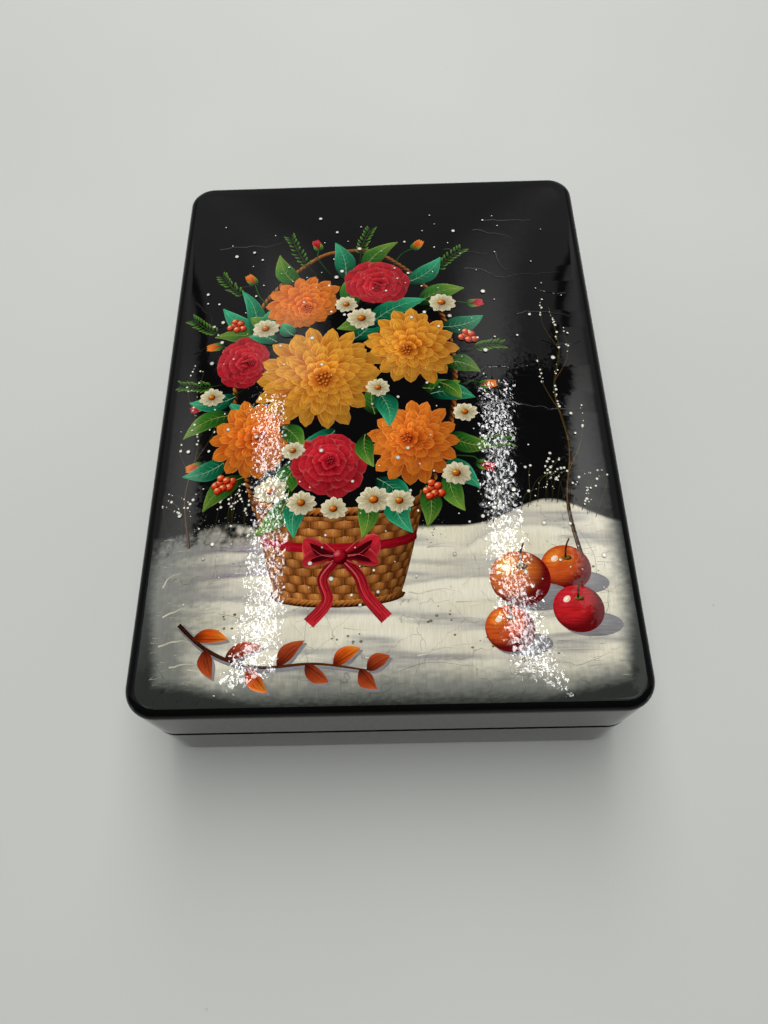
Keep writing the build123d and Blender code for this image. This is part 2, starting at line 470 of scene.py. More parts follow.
@dataclass(frozen=True)
class MetalFinish:
    """A drawn metal with fine lines, dull patches and small pits."""

    name: str
    colour: Array
    tarnish: Array
    roughness: float
    line_axis_scale: Triple = (300.0, 6000.0, 6000.0)

    def material(self, effects: Effects) -> Material:
        """Builds the material.

        Args:
            effects: The shared shader effects.

        Returns:
            The new material.
        """
        coat = Coat(self.name)
        graph = coat.graph
        place = graph.object_place()
        lines = graph.noise(graph.stretched(place, self.line_axis_scale), 1.0, 2.0, 0.6)
        patches = graph.ramp(graph.noise(place, 450.0, 3.0, 0.6), 0.42, 0.68)
        dull = graph.larger(patches, coat.use(effects.specks, Spacing=0.0011, Speck=0.12, Share=0.5)["Mask"])
        colour = graph.mix(dull, rgba(self.colour), rgba(self.tarnish))
        rough = graph.times_plus(dull, 0.22, graph.times_plus(lines, 0.15, self.roughness))
        bump = graph.out("ShaderNodeBump", {"Strength": 0.6, "Distance": 4.0e-6, "Height": lines})
        coat.set(Base_Color=colour, Metallic=1.0, Roughness=rough, Normal=bump)
        return coat.material


class Finishes:
    """Every material of the box, built once."""

    def __init__(self, effects: Effects, seam_height: float) -> None:
        """Builds the materials.

        Args:
            effects: The shared shader effects.
            seam_height: The height of the seam between lid and base, in millimetres.
        """
        black, red, board = screen(9, 9, 10), screen(150, 22, 18), screen(92, 40, 26)
        edge = seam_height * MM
        self.black = LacquerFinish("black_lacquer", black, board, edge).material(effects)
        self.lid_black = LacquerFinish("lid_black_lacquer", black, board, edge, wear=0.3).material(effects)
        self.bottom = LacquerFinish("bottom_lacquer", black, board, edge, 0.06, top_colour=red).material(effects)
        lining = LacquerFinish("red_lining_lacquer", red, screen(60, 12, 10), edge, 0.16, 8e-6, 8e-6)
        self.red = lining.material(effects)
        self.paint = PaintFinish("painted_colours").material(effects)
        self.ground = PaintFinish("painted_snow_ground", 0.1, 0.55).material(effects)
        self.brass = MetalFinish("hinge_brass", screen(214, 170, 92), screen(120, 84, 44), 0.24).material(effects)
        self.steel = MetalFinish("hinge_steel", screen(172, 172, 170), screen(96, 90, 84), 0.28).material(effects)


# ---------------------------------------------------------------- meshes


def new_piece(name: str, points: Array | list, faces: list, materials: list, edges: list | None = None) -> Piece:
    """Makes a smooth-shaded piece from points in millimetres.

    Args:
        name: The piece's name.
        points: One row for each point.
        faces: The point numbers of each face.
        materials: The materials of its slots.
        edges: The point numbers of each loose edge.

    Returns:
        The new object.
    """
    mesh = bpy.data.meshes.new(name)
    mesh.from_pydata((np.asarray(points) * MM).tolist(), edges or [], faces)
    mesh.polygons.foreach_set("use_smooth", [True] * len(mesh.polygons))
    for material in materials:
        mesh.materials.append(material)
    mesh.update()
    piece = bpy.data.objects.new(name, mesh)
    bpy.context.scene.collection.objects.link(piece)
    return piece


def seated(piece: Piece, body: Body, slot: str, *replaced: str) -> None:
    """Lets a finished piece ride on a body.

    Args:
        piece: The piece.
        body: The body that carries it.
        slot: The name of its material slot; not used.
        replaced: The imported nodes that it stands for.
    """
    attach(piece, body.value)
    if replaced:
        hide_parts(*replaced)
    LOG.info("%s: %d faces on the %s", piece.name, len(piece.data.polygons), body.value)


def baked(piece: Piece) -> None:
    """Turns a piece's live modifiers into plain mesh.

    Args:
        piece: The piece.
    """
    depsgraph = bpy.context.evaluated_depsgraph_get()
    result = bpy.data.meshes.new_from_object(piece.evaluated_get(depsgraph), depsgraph=depsgraph)
    result.name = piece.name
    old = piece.data
    piece.modifiers.clear()
    piece.data = result
    bpy.data.meshes.remove(old)


@dataclass(frozen=True)
class Outline:
    """A rounded rectangle with the same number of points at every inset."""

    width: float
    length: float
    corner_steps: int = 12
    width_steps: int = 28
    length_steps: int = 40

    def loop(self, inset: float, radius: float) -> Array:
        """The outline's points, anticlockwise from above.

        Args:
            inset: How far inside the full outline it runs.
            radius: Its corner radius.

        Returns:
            One row of x, y for each point.
        """
        half_x, half_y = self.width / 2 - inset, self.length / 2 - inset
        arcs = []
        for quarter, (sign_x, sign_y) in enumerate(((1, -1), (1, 1), (-1, 1), (-1, -1))):
            centre = np.array([sign_x * (half_x - radius), sign_y * (half_y - radius)])
            angles = np.radians(np.linspace(-90, 0, self.corner_steps + 1) + 90 * quarter)
            arcs.append(centre + radius * np.column_stack([np.cos(angles), np.sin(angles)]))
        points = []
        for number, arc in enumerate(arcs):
            steps = self.width_steps if number % 2 else self.length_steps
            shares = np.arange(1, steps)[:, None] / steps
            points += [arc, arc[-1] * (1 - shares) + arcs[(number + 1) % 4][0] * shares]
        return np.vstack(points)


@dataclass
class Shell:
    """A skin swept round the box: one loop of points after another, joined by bands of faces."""

    points: list[Array] = field(default_factory=list)
    faces: list = field(default_factory=list)
    finish_of_face: list[int] = field(default_factory=list)
    count: int = 0

    def ring(self, flat: Array, height: Array | float, finish: int) -> None:
        """Adds a loop and joins it to the last one.

        Args:
            flat: The loop in plan.
            height: Its height, alike or for each point.
            finish: The slot of the faces between the two.
        """
        self.points.append(np.column_stack([flat, np.broadcast_to(height, len(flat))]))
        start, size = self.count, len(flat)
        self.count += size
        if start:
            self.band(start - size, start, size, finish)

    def band(self, first: int, second: int, size: int, finish: int) -> None:
        """Joins two loops.

        Args:
            first: The number of the first loop's first point.
            second: The number of the second loop's first point.
            size: How many points a loop has.
            finish: The slot of the faces.
        """
        for number in range(size):
            after = (number + 1) % size
            self.faces.append((first + number, first + after, second + after, second + number))
            self.finish_of_face.append(finish)

    def pole(self, height: float, finish: int, upwards: bool) -> None:
        """Closes the last loop, or the first one, with a point on the Z axis.

        Args:
            height: The point's height.
            finish: The slot of the faces.
            upwards: True closes the last loop, False the first.
        """
        size = len(self.points[0])
        start = self.count - size if upwards else 0
        self.points.append(np.array([[0.0, 0.0, height]]))
        for number in range(size):
            corner = (start + number, start + (number + 1) % size)
            self.faces.append((*(corner if upwards else corner[::-1]), self.count))
            self.finish_of_face.append(finish)
        self.count += 1

    def close(self, finish: int) -> None:
        """Joins the last loop to the first."""
        size = len(self.points[0])
        self.band(self.count - size, 0, size, finish)

    def piece(self, name: str, materials: list[Material]) -> Piece:
        """Makes the object, with each face's slot.

        Args:
            name: The object's name.
            materials: The materials of its slots.

        Returns:
            The new object.
        """
        made = new_piece(name, np.vstack(self.points), self.faces, materials)
        made.data.polygons.foreach_set("material_index", self.finish_of_face)
        return made


@dataclass(frozen=True)
class RearJoint:
    """What the hinge takes out of the rear walls: bevel, leaf slot, knuckle seats and pin holes."""

    seam: float
    rear: float
    inset: float = 1.9
    bevel_degrees: float = 52.0
    bevel_length: float = 120.0
    overrun: float = 3.0
    seat_radius: float = 1.44
    seat_length: float = 50.6
    slot_width: float = 50.1
    slot_thickness: float = 0.7
    leaf_offset: float = 1.0
    slot_depth: float = 7.55
    pin_radius: float = 0.47
    pin_places: tuple[float, ...] = (-18.0, -6.0, 6.0, 18.0)
    pin_height: float = 4.6
    pin_reach: float = 5.6
    pin_past: float = 1.45
    round_steps: int = 48
    sharp_degrees: float = 28.0

    def cutters(self, side: int) -> list[Piece]:
        """The bodies to take away from one shell.

        Args:
            side: 1 for the lid, -1 for the base.

        Returns:
            The bodies, as bare objects.
        """
        axis = self.rear - self.inset
        reach = self.inset + self.overrun
        rise = side * reach * math.tan(math.radians(self.bevel_degrees))
        leaf, half, depth = axis - self.leaf_offset, self.slot_thickness / 2, side * self.slot_depth
        wedge = ((axis, 0.0), (axis + reach, rise), (axis + reach, -side), (axis, -side))
        slot = ((leaf - half, -side), (leaf + half, -side), (leaf + half, depth), (leaf - half, depth))
        sections = [[(y, self.seam + z) for y, z in wedge], [(y, self.seam + z) for y, z in slot]]
        sections.append(self.circle(self.seat_radius, axis, self.seam))
        lengths = (self.bevel_length, self.slot_width, self.seat_length)
        made = [self.prism(section, -length / 2, length / 2) for section, length in zip(sections, lengths)]
        for x in self.pin_places:
            hole = self.circle(self.pin_radius, x, self.seam + side * self.pin_height)
            made.append(self.prism(hole, leaf - self.pin_reach, leaf + self.pin_past, along_x=False))
        return made

    def circle(self, radius: float, across: float, up: float) -> list[Point]:
        """A round section about a place."""
        turns = np.linspace(0, 2 * math.pi, self.round_steps, endpoint=False)
        return [(across + radius * math.cos(turn), up + radius * math.sin(turn)) for turn in turns]

    @staticmethod
    def prism(section: list[Point], low: float, high: float, along_x: bool = True) -> Piece:
        """A straight body for cutting.

        Args:
            section: Its corners, in y and z where it runs along X, or else in x and z.
            low: Where it starts.
            high: Where it ends.
            along_x: True where it runs along X, False along Y.

        Returns:
            The body, with its faces outwards.
        """
        size = len(section)
        points = [(run, a, b) if along_x else (a, run, b) for run in (low, high) for a, b in section]
        area = sum(a[0] * b[1] - b[0] * a[1] for a, b in zip(section, section[1:] + section[:1]))
        order = list(range(size))[:: 1 if (area > 0) == along_x else -1]
        faces = [tuple(order[::-1]), tuple(number + size for number in order)]
        faces += [(first, after, after + size, first + size) for first, after in zip(order, order[1:] + order[:1])]
        return new_piece("cutter", points, faces, [])

    def cut(self, piece: Piece, side: int) -> None:
        """Takes the hinge's room out of a shell, then cleans its shading.

        Args:
            piece: The shell.
            side: 1 for the lid, -1 for the base.
        """
        cutters = self.cutters(side)
        for cutter in cutters:
            modifier = piece.modifiers.new(cutter.name, "BOOLEAN")
            modifier.operation, modifier.solver, modifier.object = "DIFFERENCE", "EXACT", cutter
        baked(piece)
        for cutter in cutters:
            bpy.data.meshes.remove(cutter.data)
        piece.data.polygons.foreach_set("use_smooth", [True] * len(piece.data.polygons))
        piece.data.set_sharp_from_angle(angle=math.radians(self.sharp_degrees))
        piece.data.update()


@dataclass
class BoxWalls:
    """The sizes of the box, in millimetres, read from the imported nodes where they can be."""

    corner_radius: float = 6.0
    shoulder_radius: float = 2.0
    base_edge_radius: float = 1.4
    wall: float = 4.6
    lid_wall: float = 4.4
    inner_radius: float = 0.8
    seam_chamfer: float = 0.5
    rim_bevel: float = 0.7
    bottom_thickness: float = 2.6
    bottom_rebate: float = 2.0
    lid_panel_edge: float = 3.0
    lid_panel_thickness: float = 3.0
    crown_rings: int = 30
    arc_steps: int = 10

    def __post_init__(self) -> None:
        """Reads the outer sizes from the frame."""
        low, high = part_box("base_frame")
        self.width, self.length = (high[0] - low[0]) / MM, (high[1] - low[1]) / MM
        self.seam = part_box("lid_frame")[0][2] / MM
        self.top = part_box("lid_panel")[1][2] / MM
        self.field_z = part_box("lid_frame")[1][2] / MM + self.lid_panel_edge
        self.outline = Outline(self.width, self.length)
        self.rise = self.top - self.field_z

    def crown(self, x: Array, y: Array) -> Array:
        """How far the lid's crown stands above its rim."""
        across, along = 1 - (2 * x / self.width) ** 2, 1 - (2 * y / self.length) ** 2
        return self.rise * np.clip(across, 0, 1) * np.clip(along, 0, 1)

    def surface(self, x: Array, y: Array) -> Array:
        """The height of the lid's outside.

        Args:
            x: Places across.
            y: Places along.

        Returns:
            The height of the crown and the rounded shoulder together, for each place.
        """
        past_x = np.abs(x) - (self.width / 2 - self.corner_radius)
        past_y = np.abs(y) - (self.length / 2 - self.corner_radius)
        corner = np.hypot(np.maximum(past_x, 0), np.maximum(past_y, 0)) + np.minimum(np.maximum(past_x, past_y), 0)
        gone = self.shoulder_radius - np.clip(self.corner_radius - corner, 0, self.shoulder_radius)
        drop = self.shoulder_radius - np.sqrt(np.maximum(self.shoulder_radius**2 - gone**2, 0))
        return self.field_z - drop + self.crown(x, y)

    def lean(self, flat: Array) -> Array:
        """The crown's outward direction.

        Args:
            flat: Places in plan.

        Returns:
            One row of x, y, z for each place.
        """
        x, y = flat[:, 0], flat[:, 1]
        across = 8 * self.rise * x / self.width**2 * (1 - (2 * y / self.length) ** 2)
        along = 8 * self.rise * y / self.length**2 * (1 - (2 * x / self.width) ** 2)
        return np.column_stack([across, along, np.ones(len(x))])

    def base_shell(self, finishes: Finishes) -> Piece:
        """Makes the wall of the base.

        Args:
            finishes: The materials.

        Returns:
            The wall, black outside and on its rims, red inside.
        """
        shell = Shell()
        rebate = self.wall - self.bottom_rebate

        def add(inset: float, height: float, radius: float, finish: int = 0) -> None:
            """One loop of the wall."""
            shell.ring(self.outline.loop(inset, radius), height, finish)

        add(rebate, 0.0, self.inner_radius)
        for turn in np.radians(np.linspace(0, 90, self.arc_steps + 1)):
            inset = self.base_edge_radius * (1 - math.sin(turn))
            add(inset, self.base_edge_radius * (1 - math.cos(turn)), self.corner_radius - inset)
        add(0.0, self.seam - self.rim_bevel, self.corner_radius)
        add(self.rim_bevel, self.seam, self.corner_radius - self.rim_bevel)
        add(self.wall, self.seam, self.inner_radius)
        add(self.wall, self.bottom_thickness, self.inner_radius, 1)
        add(rebate, self.bottom_thickness, self.inner_radius)
        shell.close(0)
        return shell.piece("base_shell", [finishes.black, finishes.red])

    def lid_shell(self, finishes: Finishes) -> Piece:
        """Makes the lid's wall, shoulder and crown in one skin.

        Args:
            finishes: The materials.

        Returns:
            The lid, black outside and red in the hollow underneath.
        """
        shell = Shell()
        hollow = self.outline.loop(self.lid_wall, self.inner_radius)
        for share in np.linspace(0.1, 1, self.crown_rings // 2):
            flat = hollow * share
            shell.ring(flat, self.field_z - self.lid_panel_thickness + self.crown(flat[:, 0], flat[:, 1]), 1)
        shell.ring(hollow, self.seam, 1)
        shell.ring(self.outline.loop(self.seam_chamfer, self.corner_radius - self.seam_chamfer), self.seam, 0)
        shell.ring(self.outline.loop(0, self.corner_radius), self.seam + self.seam_chamfer, 0)
        insets = self.shoulder_radius * (1 - np.cos(np.radians(np.linspace(0, 90, self.arc_steps + 1))))
        loops = [self.outline.loop(inset, self.corner_radius - inset) for inset in insets]
        rim = self.outline.loop(self.shoulder_radius, self.corner_radius - self.shoulder_radius)
        loops += [rim * share for share in np.linspace(1, 0.03, self.crown_rings)[1:]]
        for flat in loops:
            shell.ring(flat, self.surface(flat[:, 0], flat[:, 1]), 0)
        shell.pole(self.top, 0, upwards=True)
        shell.pole(self.top - self.lid_panel_thickness, 1, upwards=False)
        return shell.piece("lid_shell", [finishes.lid_black, finishes.red])


# ---------------------------------------------------------------- painting


@dataclass(frozen=True)
class Tones:
    """The colours of one kind of stroke, from its foot to its tip, with its edge and its fine lines."""

    foot: Array
    body: Array
    tip: Array
    edge: Array
    line: Array


def mixed(*colours: Triple) -> Tones:
    """Tones from five colours as they look on a screen."""
    return Tones(*(screen(*colour) for colour in colours))


class Palette:
    """The painter's colours, mixed once."""

    ochre = mixed((84, 26, 10), (186, 92, 20), (224, 158, 52), (236, 190, 92), (92, 38, 14))
    amber = mixed((96, 24, 10), (196, 78, 20), (226, 128, 40), (236, 170, 84), (98, 30, 12))
    crimson = mixed((58, 4, 10), (150, 14, 28), (196, 40, 50), (224, 104, 104), (70, 6, 14))
    cream = mixed((120, 104, 66), (196, 182, 140), (226, 216, 184), (236, 230, 206), (140, 122, 82))
    emerald = mixed((6, 40, 28), (16, 104, 70), (50, 156, 112), (112, 196, 156), (150, 206, 160))
    moss = mixed((14, 34, 12), (40, 96, 28), (104, 138, 50), (158, 176, 88), (168, 184, 96))
    olive = mixed((20, 22, 8), (58, 58, 22), (96, 90, 40), (120, 112, 56), (120, 112, 60))
    wicker = mixed((52, 24, 10), (150, 86, 34), (186, 122, 58), (206, 150, 84), (60, 28, 12))
    bark = mixed((40, 20, 10), (92, 50, 24), (120, 74, 40), (160, 120, 80), (50, 26, 12))
    rust = mixed((84, 26, 14), (150, 56, 26), (176, 80, 40), (196, 112, 66), (70, 22, 12))
    snow = screen(220, 213, 188)
    snow_light = screen(232, 227, 206)
    shadow = screen(140, 138, 140)
    violet = screen(108, 98, 124)
    margin = screen(120, 122, 115)
    far_margin = screen(46, 49, 46)
    soot = screen(12, 14, 15)


class Layer(Enum):
    """The films of the painting: how far above the lacquer each lies, in micrometres, and its random seed."""

    SNOW_GROUND = (6, 1)
    SNOW_MARKS = (10, 2)
    LACQUER_CREASES = (6, 9)
    GRASS_BLADES = (13, 3)
    BARE_TWIGS = (19, 4)
    BASKET_WEAVE = (31, 5)
    BASKET_RIMS = (43, 6)
    BASKET_HANDLE = (18, 7)
    RIBBON_BOW = (53, 8)
    LEAVES_BACK = (50, 31)
    LEAVES_FRONT = (188, 32)
    BUDS_AND_SPRAYS = (31, 33)
    PEONY_TOP = (70, 20)
    DAHLIA_TOP = (70, 21)
    PEONY_LEFT = (70, 22)
    DAHLIA_LEFT = (78, 23)
    DAHLIA_RIGHT = (118, 24)
    DAHLIA_LOW = (120, 25)
    PEONY_LOW = (118, 26)
    DAHLIA_MAIN = (124, 27)
    CREAM_DAISIES = (206, 34)
    ROWAN_BERRIES = (224, 35)
    SNOW_APPLES = (22, 41)
    FALLEN_SPRIG = (22, 42)
    FROST_BEADS = (28, 71)
    FALLING_SNOW = (244, 72)


class Form(Enum):
    """The shapes of petal strokes: where each is fullest, how pointed it is, and its points along and across."""

    PLAIT = (0.5, 0.5, 6, 5)
    LOOP = (0.68, 0.6, 13, 11)
    LOOP_HOLLOW = (0.6, 0.9, 9, 5)
    POINTED = (0.64, 0.62, 10, 9)
    ROUND = (0.7, 0.5, 10, 9)
    LEAF = (0.42, 0.95, 13, 11)
    BUD = (0.45, 0.8, 9, 7)
    SEPAL = (0.45, 0.9, 8, 5)
    FROND = (0.5, 0.8, 6, 5)
    DAISY = (0.68, 0.55, 8, 5)
    SHADOW = (0.45, 0.9, 9, 5)
    SPRIG = (0.45, 0.9, 11, 9)


def flowing(points: Run | list, steps: int) -> Array:
    """A smooth run through a few points.

    Args:
        points: The points that it passes.
        steps: How many points it gets.

    Returns:
        One row of x, y for each of its points.
    """
    fixed = np.array([points[0], *points, points[-1]], dtype=float)
    places = np.linspace(0, len(points) - 1 - 1e-9, steps)
    start = np.floor(places).astype(int)
    share = (places - start)[:, None]
    before, first, second, after = (fixed[start + offset] for offset in range(4))
    return 0.5 * (
        2 * first
        + (second - before) * share
        + (2 * before - 5 * first + 4 * second - after) * share**2
        + (3 * first - before - 3 * second + after) * share**3
    )


def straight(start: Array, stop: Array, steps: int, low: float = 0.0, high: float = 1.0) -> Array:
    """Evenly spaced points on the way between two, from one share of it to another."""
    return start + (stop - start) * np.linspace(low, high, steps)[:, None]


@dataclass(frozen=True)
class Placing:
    """Where a drawing goes on the lid: its size and its shift in millimetres."""

    scale: float = 1.0
    shift: Point = (0.0, 0.0)

    def put(self, flat: Array) -> Array:
        """Takes the drawing's points to their places on the lid."""
        return flat * self.scale + np.array(self.shift)


@dataclass
class Patch:
    """One stroke of paint: its points in plan, its colours, its faces and its own flat map."""

    flat: Array
    lift: Array
    colour: Array
    faces: Array
    cell: Array
    size: Point
    strand: Array


class Film:
    """Strokes gathered into one thin mesh that lies on the crown of the lid."""

    thin_cell = 0.45
    gap_share = 0.005
    strand_spread = 900

    def __init__(self, layer: Layer, walls: BoxWalls, placing: Placing = Placing()) -> None:
        """Starts an empty film.

        Args:
            layer: Its place in the painting, which names the piece.
            walls: The box, for the shape of the crown.
            placing: Where its drawing goes on the lid.
        """
        self.name = layer.name.lower()
        self.level, seed = layer.value
        self.walls = walls
        self.placing = placing
        self.random = np.random.default_rng(seed)
        self.patches: list[Patch] = []

    def grid(self, x: Array, y: Array, colour: Array, lift: float | Array, size: Point) -> None:
        """Adds a stroke given as rows of points along it.

        Args:
            x: Places across the lid, one row for each step along the stroke.
            y: Places along the lid.
            colour: A linear colour for each point.
            lift: How far it lies above the film's level, alike or for each point.
            size: The stroke's width and length.
        """
        rows, columns = x.shape
        number = np.arange(rows * columns).reshape(rows, columns)
        corners = [number[:-1, :-1], number[:-1, 1:], number[1:, 1:], number[1:, :-1]]
        first, second, third, fourth = (corner.ravel() for corner in corners)
        flat = np.column_stack([x.ravel(), y.ravel()])
        one, two = flat[third] - flat[first], flat[fourth] - flat[second]
        turned = (one[:, 0] * two[:, 1] - one[:, 1] * two[:, 0]).sum() < 0
        faces = np.column_stack([first, fourth, third, second] if turned else [first, second, third, fourth])
        across, along = np.meshgrid(np.linspace(0, 1, columns), np.linspace(0, 1, rows))
        cell = np.column_stack([across.ravel(), along.ravel()])
        strand = np.column_stack([along.ravel() * size[1], across.ravel() * size[0]])
        strand += self.random.random(2) * self.strand_spread
        lift = np.broadcast_to(lift, x.shape).ravel()
        self.patches.append(Patch(flat, lift, colour.reshape(-1, 3), faces, cell, size, strand))

    def petal(
        self, foot: Point | Array, tip: Point | Array, width: float, tones: Tones, form: Form,
        lift: float = 0.0, shade: float = 1.0, bend: float = 0.0, fold: float = 0.0,
    ) -> None:
        """Adds a petal- or leaf-shaped stroke.

        Args:
            foot: Where it starts.
            tip: Where it ends.
            width: Its greatest width.
            tones: Its colours.
            form: Its shape.
            lift: How far it lies above the film's level.
            shade: How light it is.
            bend: How far its middle is pushed aside, as a share of its length.
            fold: How much lighter one half is than the other.
        """
        fullest, point, rows, columns = form.value
        start, end = np.array(foot), np.array(tip)
        run = end - start
        length = float(np.hypot(*run))
        aside = beside(run) / length
        along, across = np.linspace(0, 1, rows), np.linspace(-1, 1, columns)
        middle = start + run * along[:, None] + aside * (bend * length * 4 * along * (1 - along))[:, None]
        power = math.log(0.5) / math.log(fullest)
        half = width / 2 * (0.05 + 0.95 * np.sin(math.pi * along**power) ** point)
        half *= 1 + 0.05 * np.sin(along * 9 + self.random.random() * 6)
        x = middle[:, :1] + aside[0] * half[:, None] * across
        y = middle[:, 1:] + aside[1] * half[:, None] * across
        share, over = np.broadcast_to(along[:, None], x.shape), np.broadcast_to(across, x.shape)
        colour = blend(tones.foot, tones.body, smooth(0.02, 0.5, share))
        colour = blend(colour, tones.tip, smooth(0.45, 0.95, share) * (1 - 0.35 * np.abs(over)))
        colour = blend(colour, tones.edge, smooth(0.72, 1.0, np.abs(over)) * smooth(0.35, 0.9, share) * 0.55)
        crease = 1 - 0.28 * np.exp(-((over / 0.16) ** 2)) * (1 - share)
        strands = 1 + 0.22 * (mottle(over * 3.1 + start[0], share * 0.9 + start[1], 0.3, 5) - 0.5)
        lit = shade * crease * strands * (1 + fold * over) * (0.95 + 0.1 * self.random.random())
        self.grid(x, y, colour * lit[..., None], lift, (width, length))

    def line(
        self, path: Array, width: float, first: Array, last: Array,
        lift: float = 0.0, taper: float = 0.8, columns: int = 3, hollow: float = 0.25, ridge: float = 0.0,
    ) -> None:
        """Adds a thin stroke along a path.

        Args:
            path: Its points.
            width: Its width at the start.
            first: Its colour at the start.
            last: Its colour at the end.
            lift: How far it lies above the film's level.
            taper: How much of the width is lost at the end.
            columns: Points across it.
            hollow: How much darker its edges are than its middle.
            ridge: How far its middle stands above its edges.
        """
        run = np.gradient(path, axis=0)
        run /= np.hypot(run[:, 0], run[:, 1])[:, None] + 1e-12
        share, across = np.linspace(0, 1, len(path)), np.linspace(-1, 1, columns)
        half = width / 2 * (1 - taper * share)
        x = path[:, :1] - run[:, 1:] * half[:, None] * across
        y = path[:, 1:] + run[:, :1] * half[:, None] * across
        over = np.broadcast_to(across, x.shape)
        colour = blend(first, last, np.broadcast_to(share[:, None], x.shape))
        colour = colour * (1 - hollow * np.abs(over) + 0.12 * over)[..., None]
        length = float(np.hypot(*np.diff(path, axis=0).T).sum())
        raised = lift + ridge * (1 - over**2) * np.sin(math.pi * share.clip(0, 1))[:, None] ** 0.5
        self.grid(x, y, colour, raised, (max(width, self.thin_cell), length))

    def ball(
        self, place: Point | Array, radius: float, colours: tuple[Array, Array, Array], lift: float = 0.0,
        squash: float = 1.0, rings: int = 4, spokes: int = 12, turn: float = 0.0,
    ) -> None:
        """Adds a round dab shaded like a ball, lit from the upper left.

        Args:
            place: Its middle.
            radius: Its radius.
            colours: Its shaded side, its lit side and its brightest spot.
            lift: How far it lies above the film's level.
            squash: Its height as a share of its width.
            rings: Rings of points from the middle to the rim.
            spokes: Points in a ring.
            turn: How far it is turned, in radians.
        """
        reach = np.repeat(np.arange(1, rings + 1) / rings, spokes)
        angle = np.tile(np.linspace(0, 2 * math.pi, spokes, endpoint=False), rings)
        unit = np.vstack([[0.0, 0.0], np.column_stack([reach * np.cos(angle), reach * np.sin(angle)])])
        shaped = unit * radius * np.array([1.0, squash])
        cos, sin = math.cos(turn), math.sin(turn)
        flat = shaped @ np.array([[cos, sin], [-sin, cos]]) + np.array(place)
        faces = [(0, 1 + n, 1 + (n + 1) % spokes, 1 + (n + 1) % spokes) for n in range(spokes)]
        for low in range(1, 1 + (rings - 1) * spokes, spokes):
            high = low + spokes
            faces += [(low + n, high + n, high + (n + 1) % spokes, low + (n + 1) % spokes) for n in range(spokes)]
        depth = np.sqrt(np.clip(1 - (unit**2).sum(axis=1), 0, 1))
        lit = np.clip(unit @ np.array([-0.45, 0.5]) + depth * 0.74, 0, 1)
        dark, light, shine = colours
        colour = blend(blend(dark, light, smooth(0.1, 0.75, lit)), shine, smooth(0.86, 0.99, lit) * 0.8)
        strand = (unit + 1) * radius + self.random.random(2) * self.strand_spread
        lift, size = np.full(len(flat), lift), (2 * radius, 2 * radius)
        self.patches.append(Patch(flat, lift, colour, np.array(faces), (unit + 1) / 2, size, strand))

    def packed_cells(self) -> Array:
        """Places each stroke's own map beside the others without overlap, row by row.

        Returns:
            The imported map, one row of u, v for each point of the film.
        """
        sizes = np.array([[max(side, self.thin_cell) for side in patch.size] for patch in self.patches])
        gap = self.gap_share * math.sqrt(sizes.prod(axis=1).sum())
        reach = max(math.sqrt(((sizes + gap).prod(axis=1)).sum()) * 1.02, sizes[:, 0].max() + gap)
        corners = np.zeros_like(sizes)
        left = low = tall = 0.0
        for number in np.argsort(-sizes[:, 1], kind="stable"):
            width, height = sizes[number]
            if left + width + gap > reach + 1e-9 and left > 0:
                left, low, tall = 0.0, low + tall, 0.0
            corners[number] = (left + gap / 2, low + gap / 2)
            left += width + gap
            tall = max(tall, height + gap)
        scale = 1 / max(reach, low + tall)
        cells = zip(self.patches, sizes, corners)
        return np.vstack([(patch.cell * size + corner) * scale for patch, size, corner in cells])

    def piece(self, material: Material) -> None:
        """Makes the film and lets it ride on the lid."""
        seated(self.bare(material), Body.LID, "lid_painted")

    def bare(self, material: Material) -> Piece:
        """Makes the film's mesh, with its colours and its two maps.

        Args:
            material: Its paint.

        Returns:
            The new object.
        """
        flat = self.placing.put(np.vstack([patch.flat for patch in self.patches]))
        lift = (self.level + np.concatenate([patch.lift for patch in self.patches])) * MM
        height = self.walls.surface(flat[:, 0], flat[:, 1]) + lift
        starts = np.cumsum([0] + [len(patch.flat) for patch in self.patches])
        quads = [face for start, patch in zip(starts, self.patches) for face in (patch.faces + start).tolist()]
        faces = [face[:3] if face[2] == face[3] else face for face in quads]
        made = new_piece(self.name, np.column_stack([flat, height]), faces, [material])
        mesh = made.data
        colours = np.clip(np.vstack([patch.colour for patch in self.patches]), 0, 1)
        paint = mesh.color_attributes.new("Paint", "FLOAT_COLOR", "POINT")
        paint.data.foreach_set("color", np.column_stack([colours, np.ones(len(colours))]).ravel())
        corners = np.empty(len(mesh.loops), dtype=np.int64)
        mesh.loops.foreach_get("vertex_index", corners)
        strands = np.vstack([patch.strand for patch in self.patches])
        for label, values in (("Stroke", strands), ("OFBake", self.packed_cells())):
            mesh.uv_layers.new(name=label).data.foreach_set("uv", values[corners].ravel())
        LOG.info("%s: %d strokes", self.name, len(self.patches))
        return made


@dataclass
class Drawing:
    """A part of the painting: the box that it lies on, its finishes and where it goes on the lid."""

    walls: BoxWalls
    finishes: Finishes
    placing: Placing = Placing()

    def film(self, layer: Layer) -> Film:
        """Starts one of the part's films."""
        return Film(layer, self.walls, self.placing)


@dataclass(frozen=True)
class Drift:
    """One low wave of the snow: where its crest runs and how its far side is shaded."""

    middle: float
    crest: float
    reach: float
    drop: float
    fade: float
    tone: Array
    strength: float = 0.8


